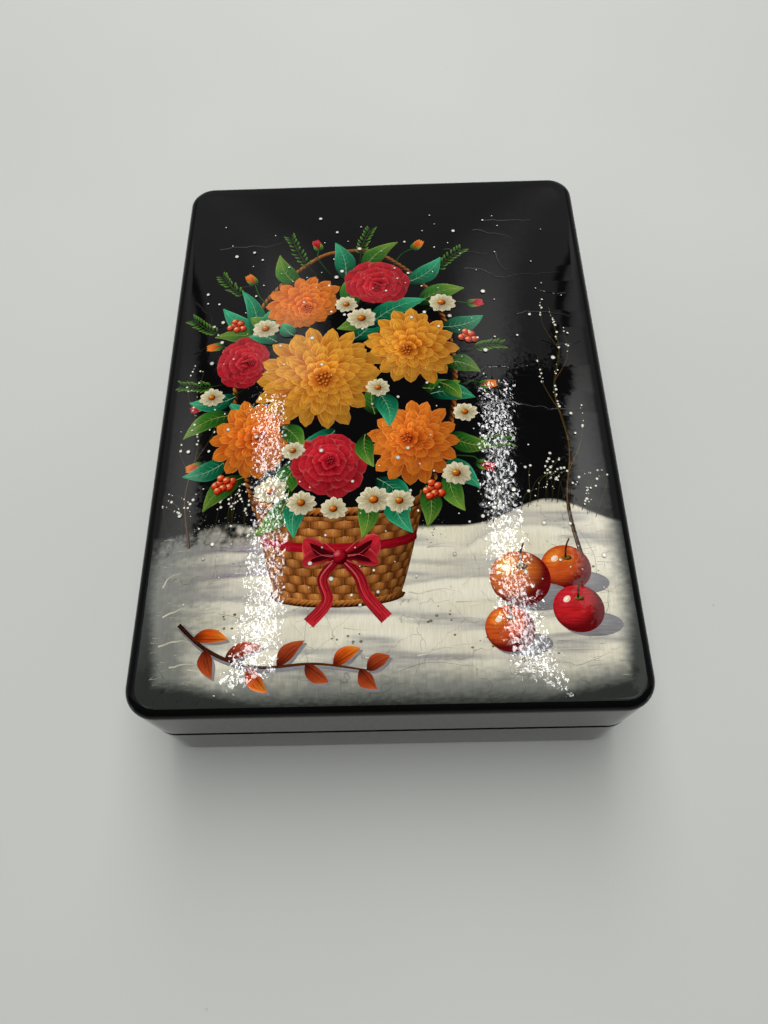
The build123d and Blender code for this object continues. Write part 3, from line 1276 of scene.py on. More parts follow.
@dataclass
class SnowGround(Drawing):
    """The cream snow in the front third of the picture, fading to grey-green at its margins."""

    inset: float = 2.1
    front_inset: float = 1.5
    aside: float = 0.2
    corner: float = 4.3
    spacing: float = 0.32
    drifts: tuple[Drift, ...] = (
        Drift(-33, -37.5, 17, 3.5, 2.8, Palette.violet, 1.0),
        Drift(-24, -42.5, 19, 2.6, 2.8, Palette.violet, 0.9),
        Drift(30, -33, 15, 5.5, 2.4, Palette.shadow, 0.6),
        Drift(-35, -47.5, 12, 2.0, 2.6, Palette.violet, 0.6),
        Drift(20, -44, 24, 3.2, 2.0, Palette.shadow, 0.75),
        Drift(-10, -51, 26, 2.4, 1.7, Palette.shadow, 0.7),
        Drift(32, -52.5, 16, 2.0, 1.6, Palette.violet, 0.55),
        Drift(-28, -57.5, 17, 1.6, 1.8, Palette.shadow, 0.6),
        Drift(8, -60, 28, 1.8, 1.5, Palette.shadow, 0.65),
    )
    dirt_places: Run = ((-6, -55.5), (10, -52), (17, -56), (-17, -47.5), (38, -43), (27, -60), (-30, -52))
    scrolls: tuple[Run, ...] = (
        ((-44, -50.5), (-41, -49.2), (-37.5, -49.6), (-35, -48.6)),
        ((-44.5, -56.4), (-40.5, -55.4), (-36.5, -56.2), (-32, -54.9), (-29.5, -55.9)),
        ((-42, -60.4), (-37, -60.2), (-33, -61.0)),
        ((26, -62.4), (31, -61.2), (36, -61.4), (41, -59.8)),
        ((38, -55.5), (41, -53.2), (42.5, -49.6), (43.2, -45.5)),
        ((-45, -44.5), (-43.5, -42.2), (-41, -41.5)),
    )
    cracks: tuple[Run, ...] = (
        ((-16, -44), (-15.4, -50), (-15.9, -55), (-15.2, -60.5)),
        ((-33, -50), (-28, -51.5), (-24.5, -54.5), (-21, -57)),
        ((39, -34), (41.5, -40), (40.5, -47)),
        ((33, -37), (37, -38.4), (42, -37.6)),
        ((35, -47), (40, -46.2), (44, -47.2)),
        ((2, -62), (8, -60.4), (15, -61.3)),
    )

    def horizon(self, x: Array | float) -> Array:
        """How far back the snow reaches.

        Args:
            x: Places across.

        Returns:
            The place along where it ends, for each of them.
        """
        x = np.asarray(x)
        right, left = 7.5 * np.exp(-(((x - 33) / 11) ** 2)), 2.2 * np.exp(-(((x + 31) / 9) ** 2))
        return -33.5 + 0.9 * np.sin(x / 7 + 0.6) + right + left

    def from_front(self, y: Array) -> Array:
        """How far each place is from the front of the picture."""
        return y + self.walls.length / 2 - self.front_inset

    def half_width(self, y: Array) -> Array:
        """Half the painted width, less in the rounded front corners."""
        into = np.clip(self.corner - self.from_front(y), 0, self.corner)
        return self.walls.width / 2 - self.inset - self.corner + np.sqrt(self.corner**2 - into**2)

    def colour(self, x: Array, y: Array) -> Array:
        """The ground's colour.

        Args:
            x: Places across.
            y: Places along.

        Returns:
            A linear colour for each place.
        """
        tone = self.drifted(x, y)
        sweep = mottle(x * 0.16 + 0.5 * np.sin(y / 5), y * 1.5 + 1.1 * np.sin(x / 9), 2.0, 71)
        hairs = mottle(x * 0.3, y * 3, 1.1, 73)
        tone = blend(tone, Palette.shadow, 0.7 * smooth(0.5, 0.92, sweep) * (0.4 + 0.8 * hairs))
        side, front = self.half_width(y) - np.abs(x - self.aside), self.from_front(y)
        ragged = 2.6 * (mottle(x, y, 6.5, 11) - 0.5) + 1.6 * (mottle(x, y * 2, 1.1, 12) - 0.5)
        corner = 0.26 * np.maximum(np.where(x < 0, 22, 18) - side - front, 0)
        inner = np.minimum(side * np.where(x < 0, 0.47, 1.8), front * 0.95) - corner + ragged
        rim = np.minimum(side * 1.3, front * 0.95) - corner + 0.9 * (mottle(x, y * 3, 0.9, 31) - 0.5)
        edge = blend(Palette.far_margin, Palette.margin, smooth(-0.5, 3.4, rim))
        tone = blend(edge, tone, smooth(1.8, 9.5, inner))
        below = self.horizon(x) - y
        softness = 0.7 + 5.0 * smooth(14, -16, x)
        powder = softness * (mottle(x, y, 1.3, 41) - 0.35) + softness * 0.6 * (mottle(x, y, 0.5, 43) - 0.5)
        return blend(Palette.soot, tone, smooth(0.0, 1.0, (below + powder * smooth(0, 1.2, below)) / softness))

    def drifted(self, x: Array, y: Array) -> Array:
        """The colour of the drifts alone.

        Args:
            x: Places across.
            y: Places along.

        Returns:
            A linear colour for each place.
        """
        tone = blend(Palette.snow, Palette.snow_light, mottle(x, y * 2.4, 7.0, 3))
        for drift in self.drifts:
            crest = drift.crest - drift.drop * ((x - drift.middle) / drift.reach) ** 2
            above = y - crest + 0.5 * (mottle(x, y, 2.3, 17) - 0.5)
            near = smooth(drift.reach * 1.3, drift.reach * 0.55, np.abs(x - drift.middle))
            shade = smooth(-0.2, 0.5, above) * np.exp(-np.maximum(above, 0) / drift.fade)
            streaks = 0.75 + 0.5 * mottle(x * 0.5, y * 5, 1.6, 23)
            tone = blend(tone, drift.tone, np.clip(shade * near * drift.strength * streaks, 0, 1))
            tone = blend(tone, Palette.snow_light, np.exp(-(((above + 0.9) / 0.9) ** 2)) * near * 0.7)
        return tone

    def sheet(self) -> None:
        """Makes the ground as one sheet on the crown."""
        low = -self.walls.length / 2 + self.front_inset
        rows, columns = int((-24 - low) / self.spacing), int(self.walls.width / self.spacing)
        share, across = np.meshgrid(np.linspace(0, 1, rows), np.linspace(-1, 1, columns), indexing="ij")
        reach = self.half_width(np.array([low + 20.0]))[0] * across
        y = low + (self.horizon(reach) - low) * share
        ragged = 0.12 * (mottle(across * 2, y, 1.5, 51) - 0.5) * (np.abs(across) > 0.98)
        x = self.aside + self.half_width(y) * across + ragged
        film = self.film(Layer.SNOW_GROUND)
        apart = np.hypot(self.walls.width / 2 - np.abs(x), self.walls.length / 2 + y)
        film.grid(x, y, self.colour(x, y), 14.0 * smooth(10, 6, apart), (self.walls.width, float(y.max() - y.min())))
        film.piece(self.finishes.ground)

    def marks(self) -> None:
        """Makes the small marks on the snow: contour strokes, dirt, powder, flecks, scrolls and hairline cracks."""
        film = self.film(Layer.SNOW_MARKS)
        self.contours(film)
        self.dirt(film)
        self.flecks(film)
        for points in self.scrolls:
            path = flowing(points, 40)
            x, y = path.T
            path = path + 0.5 * np.column_stack([mottle(y, x, 1.4, 63), mottle(x, y, 1.2, 64)])
            pale, faint = (blend(Palette.margin, Palette.snow, share) for share in (0.85, 0.3))
            film.line(path, 0.34, pale, faint, 3.0, 0.85)
        for points in self.cracks:
            path = flowing(points, 40)
            x, y = path.T
            path = path + 0.14 * np.column_stack([mottle(y, x, 0.9, 61), mottle(y, x, 0.9, 62)])
            film.line(path, 0.075, screen(104, 98, 84), screen(120, 114, 98), 3.5, 0.4)
        film.piece(self.finishes.paint)

    def contours(self, film: Film) -> None:
        """Adds grey and pale strokes that follow the drifts.

        Args:
            film: The film that they go into.
        """
        random = film.random
        for _ in range(70):
            x, y = random.uniform(-40, 41), random.uniform(-63, -37)
            length = random.uniform(3, 9)
            middle = (x + length / 2, y + random.uniform(-0.5, 0.7))
            path = flowing([(x, y), middle, (x + length, y + random.uniform(-0.7, 0.5))], 14)
            tone = self.colour(path[:, 0], path[:, 1]).mean(axis=0)
            if (self.horizon(path[:, 0]) - path[:, 1]).min() < 1 or np.abs(path[:, 0]).max() > 44:
                continue
            if random.random() < 0.62:
                mark = blend(tone, Palette.shadow * 0.8, random.uniform(0.25, 0.6))
            else:
                mark = blend(tone, Palette.snow_light, 0.8)
            film.line(path, random.uniform(0.12, 0.34), mark, tone, random.uniform(0, 2), 0.9)

    def dirt(self, film: Film) -> None:
        """Adds clusters of earthy dots, and grey powder along the horizon.

        Args:
            film: The film that they go into.
        """
        random = film.random
        for middle in self.dirt_places:
            for _ in range(7):
                place = (middle[0] + random.normal(0, 2.2), middle[1] + random.normal(0, 1.1))
                grey = screen(96, 92, 62) * random.uniform(0.8, 1.3)
                film.ball(place, random.uniform(0.14, 0.36), (grey, grey * 1.5, grey * 1.7), 2.5, 0.8, 2, 8)
        for _ in range(420):
            x = random.uniform(-45, 12)
            y = float(self.horizon(x)) + random.normal(-1.2, 1.6)
            grey = screen(118, 122, 116) * random.uniform(0.25, 1.3)
            film.ball((x, y), random.uniform(0.05, 0.16), (grey, grey, grey), 2.5, 0.8, 1, 6)

    def flecks(self, film: Film) -> None:
        """Adds short pale bristle strokes near the margins.

        Args:
            film: The film that they go into.
        """
        random = film.random
        for _ in range(260):
            x, y = random.choice([-1, 1]) * random.uniform(34, 46), random.uniform(-64, -32)
            length = random.uniform(0.6, 2.4)
            middle = (x + length * 0.5, y + random.uniform(-0.1, 0.2))
            path = flowing([(x, y), middle, (x + length, y + random.uniform(0, 0.5))], 5)
            if np.abs(path[:, 0]).max() > 46.2 or (self.horizon(path[:, 0]) - path[:, 1]).min() < 0.6:
                continue
            pale = blend(Palette.margin, Palette.snow, random.uniform(0.1, 0.75))
            film.line(path, random.uniform(0.05, 0.13), pale, pale * 0.7, 2.0, 0.8)


@dataclass
class Grasses(Drawing):
    """Thin dry grass and bare twigs behind the snow, and the paths of the frost beads along them.

    A tuft has its place across, its spread, its lean and its number of blades; a twig its course and width.
    """

    tufts: tuple[tuple, ...] = (
        (-41, 3, -0.4, 7),
        (-31, 4, -0.2, 9),
        (-22, 3, 0.3, 6),
        (22, 3, 0.2, 7),
        (31, 5, 0.5, 11),
        (41, 3, 0.5, 8),
    )
    runs: tuple[tuple[Run, float], ...] = (
        (((39, -40), (37.6, -28), (39.6, -14), (38, 0), (40.4, 12), (39.4, 24)), 0.95),
        (((38.9, -20), (42.5, -12), (43.4, -3)), 0.42),
        (((38.8, -6), (35.6, 2), (35.2, 10)), 0.36),
        (((38.5, 3), (42.2, 10), (42, 18)), 0.32),
        (((40.3, 12), (37.4, 19), (37.8, 27)), 0.28),
        (((-40, -36), (-42, -24), (-40.4, -12), (-42.2, -2), (-41, 8)), 0.6),
        (((-40.9, -16), (-37.4, -9), (-37.2, -2)), 0.3),
        (((-41.9, -4), (-44.2, 3), (-43.4, 10)), 0.26),
        (((-40.8, -20), (-44, -14), (-44.6, -8)), 0.26),
    )
    reach: float = 46.5
    bead_paths: list[Array] = field(default_factory=list)

    def blades(self, ground: SnowGround) -> None:
        """Makes the tufts of grass along the horizon.

        Args:
            ground: The snow that they stand behind.
        """
        film = self.film(Layer.GRASS_BLADES)
        random = film.random
        for middle, spread, lean, count in self.tufts:
            for _ in range(count):
                x = middle + random.normal(0, spread * 0.6)
                tilt = lean + random.normal(0, 0.45)
                tall = random.uniform(5, 13)
                y = float(ground.horizon(x)) - random.uniform(0, 1.2)
                tip = (min(max(x + tilt * tall, -self.reach), self.reach), y + tall * random.uniform(0.75, 1.0))
                path = flowing([(x, y), (x + tilt * tall * 0.25, y + tall * 0.62), tip], 16)
                width, tone = random.uniform(0.12, 0.2), Palette.olive.tip * random.uniform(0.4, 0.9)
                film.line(path, width, Palette.olive.foot * 1.4, tone, random.uniform(0, 5), 0.7)
                if random.random() < 0.75:
                    self.bead_paths.append(path[random.integers(4, 8) :])
        film.piece(self.finishes.paint)

    def twigs(self) -> None:
        """Makes the bare twigs at the right and the left."""
        film = self.film(Layer.BARE_TWIGS)
        for number, (points, width) in enumerate(self.runs):
            path = flowing(points, 12 * len(points))
            film.line(path, width, Palette.bark.foot * 1.2, Palette.olive.body * 0.9, number % 3 * 2, 0.75, 5, 0.45)
            lit = (path + np.array([-width * 0.16, 0.0]))[: len(path) * 2 // 3]
            film.line(lit, width * 0.3, Palette.bark.edge * 0.5, Palette.olive.tip * 0.4, 7, 0.6)
            self.bead_paths.append(path[len(path) // 2 :])
        film.piece(self.finishes.paint)


@dataclass
class Creases(Drawing):
    """Long fine wrinkles where the lacquer has crept, the pale ones painted as catching light and the dark ones as
    shade.
    """

    # Painted shadow: the near-black hollow line in the shallow dip beside each pale wrinkle.
    hollow: Array = field(default_factory=lambda: screen(3, 3, 4))
    # Painted highlight: the grey of the pale wrinkles stands in for light caught on a ridge.
    painted_highlight_tone: Array = field(default_factory=lambda: screen(82, 80, 75))
    # Lacquer black, painted darker towards the ends and edges of the dark wrinkles as shade.
    shaded_lacquer_tone: Array = field(default_factory=lambda: screen(9, 9, 10))
    pale: tuple[Run, ...] = (
        ((23.2, 49.4), (27.4, 48.7), (30.7, 48.3), (33.0, 46.5)),
        ((15.6, 43.0), (21.9, 41.9), (26.1, 41.6)),
        ((20.1, 36.0), (24.0, 35.7), (26.7, 34.1), (29.3, 33.2), (34.1, 34.3), (43.5, 35.4)),
        ((28.3, 41.5), (28.6, 38.8), (30.1, 35.8), (31.2, 36.3)),
        ((20.2, -3.4), (27.7, -3.2), (35.3, -4.6), (44.9, -4.6)),
        ((-40.5, 45.6), (-33.9, 46.2), (-29.4, 46.0), (-22.3, 47.1)),
        ((-37.4, 31.7), (-33.0, 32.9), (-29.6, 33.3)),
        ((26.5, 52.8), (33.2, 53.6), (38.2, 53.2)),
        ((31.5, 22.0), (37.0, 22.8), (44.5, 21.6)),
    )
    dark: tuple[Run, ...] = (
        ((21.2, 4.7), (23.4, 6.4), (26.3, 6.7), (29.0, 6.5), (33.4, 7.2)),
        ((-45.1, 29.1), (-41.7, 25.2), (-40.0, 21.9), (-36.7, 20.2), (-30.3, 19.6)),
        ((-44.1, 13.2), (-40.4, 15.2), (-36.1, 15.5)),
        ((37.5, 30.2), (41.2, 28.9), (45.8, 29.2)),
        ((36.5, 14.0), (40.2, 13.2), (45.8, 14.4)),
    )

    def piece(self) -> None:
        """Makes the wrinkles as low rounded ridges, the pale ones painted as highlights with a dark painted shadow
        beside them.
        """
        film = self.film(Layer.LACQUER_CREASES)
        kinds = ((self.pale, self.painted_highlight_tone, 0.27, 7.0), (self.dark, self.shaded_lacquer_tone, 0.55, 26.0))
        for runs, tone, width, ridge in kinds:
            for points in runs:
                path = flowing(points, 60)
                x, y = path.T
                path = path + 0.5 * (np.column_stack([mottle(x, y, 1.1, 91), mottle(x, y, 1.1, 92)]) - 0.5)
                path[:, 1] += 0.9 * (mottle(path[:, 0], path[:, 1], 3.1, 93) - 0.5)
                if runs is self.pale:
                    # Painted shadow: a near-black line in a shallow dip just below each pale wrinkle.
                    film.line(path - (0.05, 0.3), 0.36, self.hollow, self.hollow, 0.0, 0.6, 5, 0.2, -5.0)
                # Painted light and shade on each ridge: darker edges, one side lighter, and darker towards its end.
                film.line(path, width, tone, tone * 0.3, 0.6, 0.5, 5, 0.6, ridge)
        film.piece(self.finishes.paint)


@dataclass
class Basket(Drawing):
    """A woven basket in three pieces: body, plaited rims and tall hoop handle, with a ribbon.

    A tail of the bow has its course and width; a loop has its tip, its bend and its width.
    """

    x: float = -3.0
    base_y: float = -53.0
    rim_y: float = -29.5
    base_half: float = 14.5
    rim_half: float = 20.5
    rows: int = 11
    ribs: int = 22
    hoop: Run = (
        *((-23, -29), (-29, -8), (-30, 14), (-24, 35), (-11, 50), (-2, 53.2)),
        *((8, 51.5), (21, 37), (26.5, 16), (25, -6), (17.5, -29)),
    )
    knot: Point = (-2.5, -42.0)
    tails: tuple[tuple[Run, float], ...] = (
        (((-6.5, -47), (-5.4, -52.5), (-9.5, -57.5)), 3.0),
        (((1.6, -46.5), (3.6, -51.5), (8.0, -56.8)), 3.2),
    )
    loops: tuple[tuple[Point, float, float], ...] = (
        ((-11.2, -37.6), 0.16, 5.4),
        ((6.6, -37.2), -0.16, 5.6),
        ((-11.4, -43.6), -0.14, 4.0),
        ((6.4, -43.8), 0.14, 4.2),
    )

    def place(self, across: Array, up: Array) -> tuple[Array, Array]:
        """The place in plan of a point on the basket's front.

        Args:
            across: From -1 at the left side to 1 at the right side, evenly round the front.
            up: From 0 at the base to 1 at the rim.

        Returns:
            The x and y places.
        """
        half = self.base_half + (self.rim_half - self.base_half) * up**0.85
        turn = across * math.pi / 2
        bow = (2.6 + 1.6 * up) * np.cos(turn)
        return self.x + half * np.sin(turn), self.base_y + (self.rim_y - self.base_y) * up - bow + 2.6

    def lit(self, across: Array | float) -> Array:
        """How light the weave is at each place round the front, lit from the left."""
        return 0.42 + 0.72 * np.clip(np.cos((np.asarray(across) + 0.32) * math.pi / 2.15), 0, 1)

    def weave(self) -> None:
        """Makes the woven front: dark ground, upright ribs and bulging strands over every second rib."""
        film = self.film(Layer.BASKET_WEAVE)
        random, tones = film.random, Palette.wicker
        pitch = 2 / self.ribs
        sheets = [(np.linspace(-1, 1, 48), 24, tones.foot, 0.6, 0.0, 40.0)]
        for rib in range(self.ribs):
            side = -1 + pitch * (rib + 0.5) + pitch * 0.2 * np.linspace(-1, 1, 4)
            sheets.append((side, 20, tones.body, 0.75, 2.5, 0.8))
        for side, steps, tone, light, lift, width in sheets:
            up, across = np.meshgrid(np.linspace(0, 1, steps), side, indexing="ij")
            film.grid(*self.place(across, up), tone * (self.lit(across) * light)[..., None], lift, (width, 24.0))
        along, over = np.meshgrid(np.linspace(-1, 1, 9), np.linspace(-1, 1, 5), indexing="ij")
        for row in range(self.rows):
            low, high = row / self.rows, (row + 1) / self.rows
            for rib in range(-1, self.ribs):
                if (row + rib) % 2:
                    continue
                middle = -1 + pitch * (rib + 0.5) + random.normal(0, 0.004)
                across = np.clip(middle + along * pitch * 0.98, -1, 1)
                bulge = 0.56 - 0.16 * along**2
                up = np.clip((low + high) / 2 + over * bulge / self.rows + random.normal(0, 0.003), 0, 1)
                x, y = self.place(across, up)
                tone = blend(tones.foot, tones.body, np.clip(1.15 - np.abs(along) ** 2.2 * 0.95, 0, 1))
                shine = np.clip(1 - np.abs(along) * 1.6, 0, 1) * np.clip(0.55 + 0.7 * over, 0, 1) * 0.5
                tone = blend(tone, tones.edge, shine)
                tone = blend(tone, tones.foot, smooth(-0.35, -1.0, over) * 0.75)
                tone = tone * (self.lit(across) * random.uniform(0.86, 1.1))[..., None]
                lift = 5.5 + 2 * ((rib // 2 + row) % 2)
                film.grid(x.T, y.T, tone.transpose(1, 0, 2), lift, (2.4, 2.2))
        film.piece(self.finishes.paint)

    def plait(self, film: Film, path: Array, width: float, stretch: float, shade: Array) -> None:
        """Adds a plaited strand: short slanted strokes one after another along a path.

        Args:
            film: The film that it goes into.
            path: Its points, evenly spaced.
            width: Its width.
            stretch: How long each stroke is.
            shade: How light it is at each point of the path.
        """
        film.line(path, width * 0.95, Palette.wicker.foot, Palette.wicker.foot, 0.0, 0.0, 5, 0.3)
        run = np.gradient(path, axis=0)
        run /= np.hypot(run[:, 0], run[:, 1])[:, None]
        for number, (place, along) in enumerate(zip(path, run)):
            aside = beside(along)
            foot = place - along * stretch * 0.5 - aside * width * 0.42
            tip = place + along * stretch * 0.5 + aside * width * 0.42
            lift = 2 + 2 * (number % 2)
            film.petal(foot, tip, width * 0.5, Palette.wicker, Form.PLAIT, lift, float(shade[number]), 0.12)

    def rims(self) -> None:
        """Makes the plaited rim and foot ring."""
        film = self.film(Layer.BASKET_RIMS)
        for up, width, count, rise in ((1.0, 2.5, 46, 0.4), (0.0, 1.8, 38, -0.2)):
            across = np.linspace(-1, 1, count)
            x, y = self.place(across, np.full(count, up))
            self.plait(film, np.column_stack([x, y + rise]), width, 1.9, self.lit(across) * 1.05)
        film.piece(self.finishes.paint)

    def handle(self) -> None:
        """Makes the tall plaited hoop behind the flowers."""
        film = self.film(Layer.BASKET_HANDLE)
        path = flowing(self.hoop, 130)
        self.plait(film, path, 1.5, 2.1, 0.62 + 0.3 * smooth(10, -25, path[:, 0]))
        film.piece(self.finishes.paint)

    def ribbon(self) -> None:
        """Makes the crimson ribbon: a band round the basket, a bow and two tails."""
        film = self.film(Layer.RIBBON_BOW)
        red = Palette.crimson
        across = np.linspace(-0.97, 0.97, 60)
        x, y = self.place(across, np.full(60, 0.6))
        low, over = np.meshgrid(np.arange(60), np.linspace(-1, 1, 7), indexing="ij")
        band = red.body * (self.lit(across)[low] * (1.1 - 0.35 * np.abs(over)) * (1 + 0.1 * over))[..., None]
        film.grid(x[low], y[low] + over * 1.15, band, 0.0, (2.3, 38.0))
        for points, width in self.tails:
            path = flowing([self.knot, *points], 26)
            film.line(path, width * 0.72, red.body * 0.8, red.tip, 3.0, -0.35, 9, 0.35)
            for shift in (-0.28, 0.05, 0.3):
                film.line(path[2:-1] + np.array([shift * width, 0]), 0.16, red.foot, red.foot * 1.5, 5.0, 0.5)
            film.line(path[3:-2] + np.array([-0.16 * width, 0.05]), 0.34, red.edge * 0.75, red.tip, 5.5, 0.6)
        knot = np.array(self.knot)
        dark = Tones(red.foot, red.foot * 1.3, red.foot, red.foot, red.foot)
        for number, (tip, bend, width) in enumerate(self.loops):
            light, run = 0.95 if number < 2 else 0.75, np.array(tip) - knot
            film.petal(knot, tip, width, red, Form.LOOP, 7.0 + 2 * number, light, bend, 0.16)
            film.petal(knot, knot + run * 0.82, width * 0.4, dark, Form.LOOP_HOLLOW, 15.5, 1.0, bend * 0.8)
            for share in (-0.3, 0.32):
                path = flowing([knot, knot + run * 0.5 + np.array([0, share * width]), tip], 14)
                film.line(path[2:-2], 0.2, red.edge * 0.8, red.tip, 17.5, 0.7)
        film.ball(knot, 1.75, (red.foot, red.body, red.edge), 19.5, 1.1, 5, 16)
        film.piece(self.finishes.paint)


@dataclass(frozen=True)
class Bloom:
    """A many-petalled flower, painted from its outer ring to its heart.

    It leans away from the viewer, 0 for face on, towards its way, in degrees. Its plumpness says how much its
    petals overlap.
    """

    layer: Layer
    middle: Point
    radius: float
    tones: Tones
    lean: float
    way: float
    petals: int = 15
    rings: int = 6
    plump: float = 1.25
    form: Form = Form.POINTED

    def seen(self, offset: Array, height: float) -> Array:
        """Where a point of the flower shows once it leans.

        Args:
            offset: Its place from the middle, face on.
            height: How far it stands up.

        Returns:
            Its place in plan.
        """
        way = np.array([math.cos(math.radians(self.way)), math.sin(math.radians(self.way))])
        toward = float(offset @ way)
        flat = np.array(self.middle) + offset - way * toward * (1 - math.sqrt(1 - self.lean * self.lean))
        return flat - way * height * self.lean

    def paint(self, film: Film) -> None:
        """Adds the flower's strokes.

        Args:
            film: The film that they go into.
        """
        random, radius, tones = film.random, self.radius, self.tones
        film.ball(self.middle, radius * 0.8, (tones.foot * 0.35, tones.foot * 0.5, tones.foot * 0.5), -1.5, 1.0, 3, 24)
        for ring in range(self.rings):
            depth = ring / (self.rings - 1)
            reach = radius * (1 - 0.74 * depth)
            root, rise = radius * 0.24 * (1 - depth * 0.9), radius * 0.5 * depth
            count = max(5, round(self.petals * (1 - 0.5 * depth)))
            width = 2 * math.pi * (reach * 0.62) / count * self.plump
            for number in range(count):
                angle = 2 * math.pi * (number + 0.5 * (ring % 2)) / count + random.normal(0, 0.035)
                spoke = np.array([math.cos(angle), math.sin(angle)])
                foot = self.seen(spoke * root, rise * 0.6)
                tip = self.seen(spoke * reach * random.uniform(0.93, 1.06), rise)
                shade = 0.70 + 0.34 * depth + 0.20 * float(spoke @ PAINTED_LIGHT) + random.normal(0, 0.03)
                lift = ring * 7 + (6 if number == count - 1 else 2 * (number % 3))
                wide, bend = width * random.uniform(0.92, 1.08), random.normal(0, 0.03)
                film.petal(foot, tip, wide, tones, self.form, lift, shade, bend, 0.10 if spoke[1] > 0 else -0.10)
                for share in (-0.22, 0.2) if ring < self.rings - 1 else ():
                    aside = beside(spoke) * width * share
                    start = foot + (tip - foot) * 0.2 + aside * 0.6
                    stop = foot + (tip - foot) * random.uniform(0.66, 0.86) + aside
                    film.line(straight(start, stop, 7), 0.13, tones.line, tones.body, lift + 1.1, 0.8)
        heart = self.seen(np.zeros(2), radius * 0.5)
        for number in range(12):
            angle = number * SPIRAL_TURN
            place = heart + radius * 0.035 * math.sqrt(number) * np.array([math.cos(angle), math.sin(angle)])
            lift = self.rings * 7 + 2 + 1.5 * (number % 3)
            film.ball(place, radius * 0.035, (tones.foot, tones.body, tones.edge), lift, 1.0, 2, 8)


def leaf(film: Film, row: tuple, lift: float, shade: float) -> None:
    """Adds a leaf: its blade, a midrib and side veins.

    Args:
        film: The film that it goes into.
        row: Where it starts and ends, its width, how far its middle is pushed aside, and its colours.
        lift: How far it lies above the film's level.
        shade: How light it is.
    """
    start, end = np.array(row[:2]), np.array(row[2:4])
    width, bend, tones = row[4:]
    run = end - start
    length = float(np.hypot(*run))
    aside = beside(run) / length
    fold = 0.24 if float(aside @ PAINTED_LIGHT) > 0 else -0.24
    film.petal(start, end, width, tones, Form.LEAF, lift, shade, bend, fold)
    share = np.linspace(0.02, 0.94, 14)
    rib = start + run * share[:, None] + aside * (bend * length * 4 * share * (1 - share))[:, None]
    film.line(rib, 0.2, tones.line * 0.6, tones.line * 0.9, lift + 1.6, 0.7)
    for place in np.linspace(0.16, 0.72, 6):
        root = start + run * place + aside * bend * length * 4 * place * (1 - place)
        reach = width * 0.4 * math.sin(math.pi * place**0.8)
        for side in (-1, 1):
            stop = root + run / length * reach * 0.9 + aside * side * reach
            film.line(straight(root, stop, 5), 0.11, tones.line * 0.55, tones.body, lift + 1.4, 0.6)


def bud(film: Film, row: tuple) -> None:
    """Adds a bud on its stem.

    Args:
        film: The film that it goes into.
        row: Where its stem starts, where it ends, its width and its colours.
    """
    start, end = np.array(row[:2], dtype=float), np.array(row[2:4], dtype=float)
    width, tones = row[4:]
    moss = Palette.moss
    run = (end - start) / np.hypot(*(end - start))
    aside = beside(run)
    film.line(flowing([start, (start + end) / 2 + aside * 1.4, end - run * 4], 20), 0.42, moss.foot, moss.body, 0, 0.4)
    for side in (-1, 1, 0):
        foot, wide = end - run * 4.4 + aside * side * 0.5, width * (0.75 if side else 0.62)
        film.petal(foot, end + aside * side * 0.7, wide, tones, Form.BUD, 5 + 2 * side, 0.95, -0.06 * side)
    for side in (-1, 1):
        tip = end - run * 1.9 + aside * side * 1.1
        film.petal(end - run * 5.0, tip, width * 0.36, moss, Form.SEPAL, 9 + side, 1.0, 0.1 * side)


def frond(film: Film, row: tuple) -> None:
    """Adds a thin frond with two rows of small leaves.

    Args:
        film: The film that it goes into.
        row: Where it starts and where it ends.
    """
    start, end = np.array(row[:2], dtype=float), np.array(row[2:], dtype=float)
    run = end - start
    aside = beside(run) / np.hypot(*run)
    path = flowing([start, (start + end) / 2 + aside * 0.8, end], 24)
    film.line(path, 0.26, Palette.moss.foot, Palette.olive.tip, 0.5, 0.6)
    for place in path[7::2]:
        for side in (-1, 1):
            stop = place + run / np.hypot(*run) * 1.7 + aside * side * film.random.uniform(1.3, 2.0)
            film.petal(place, stop, 0.62, Palette.moss, Form.FROND, 2.0, 0.9, 0.1 * side)


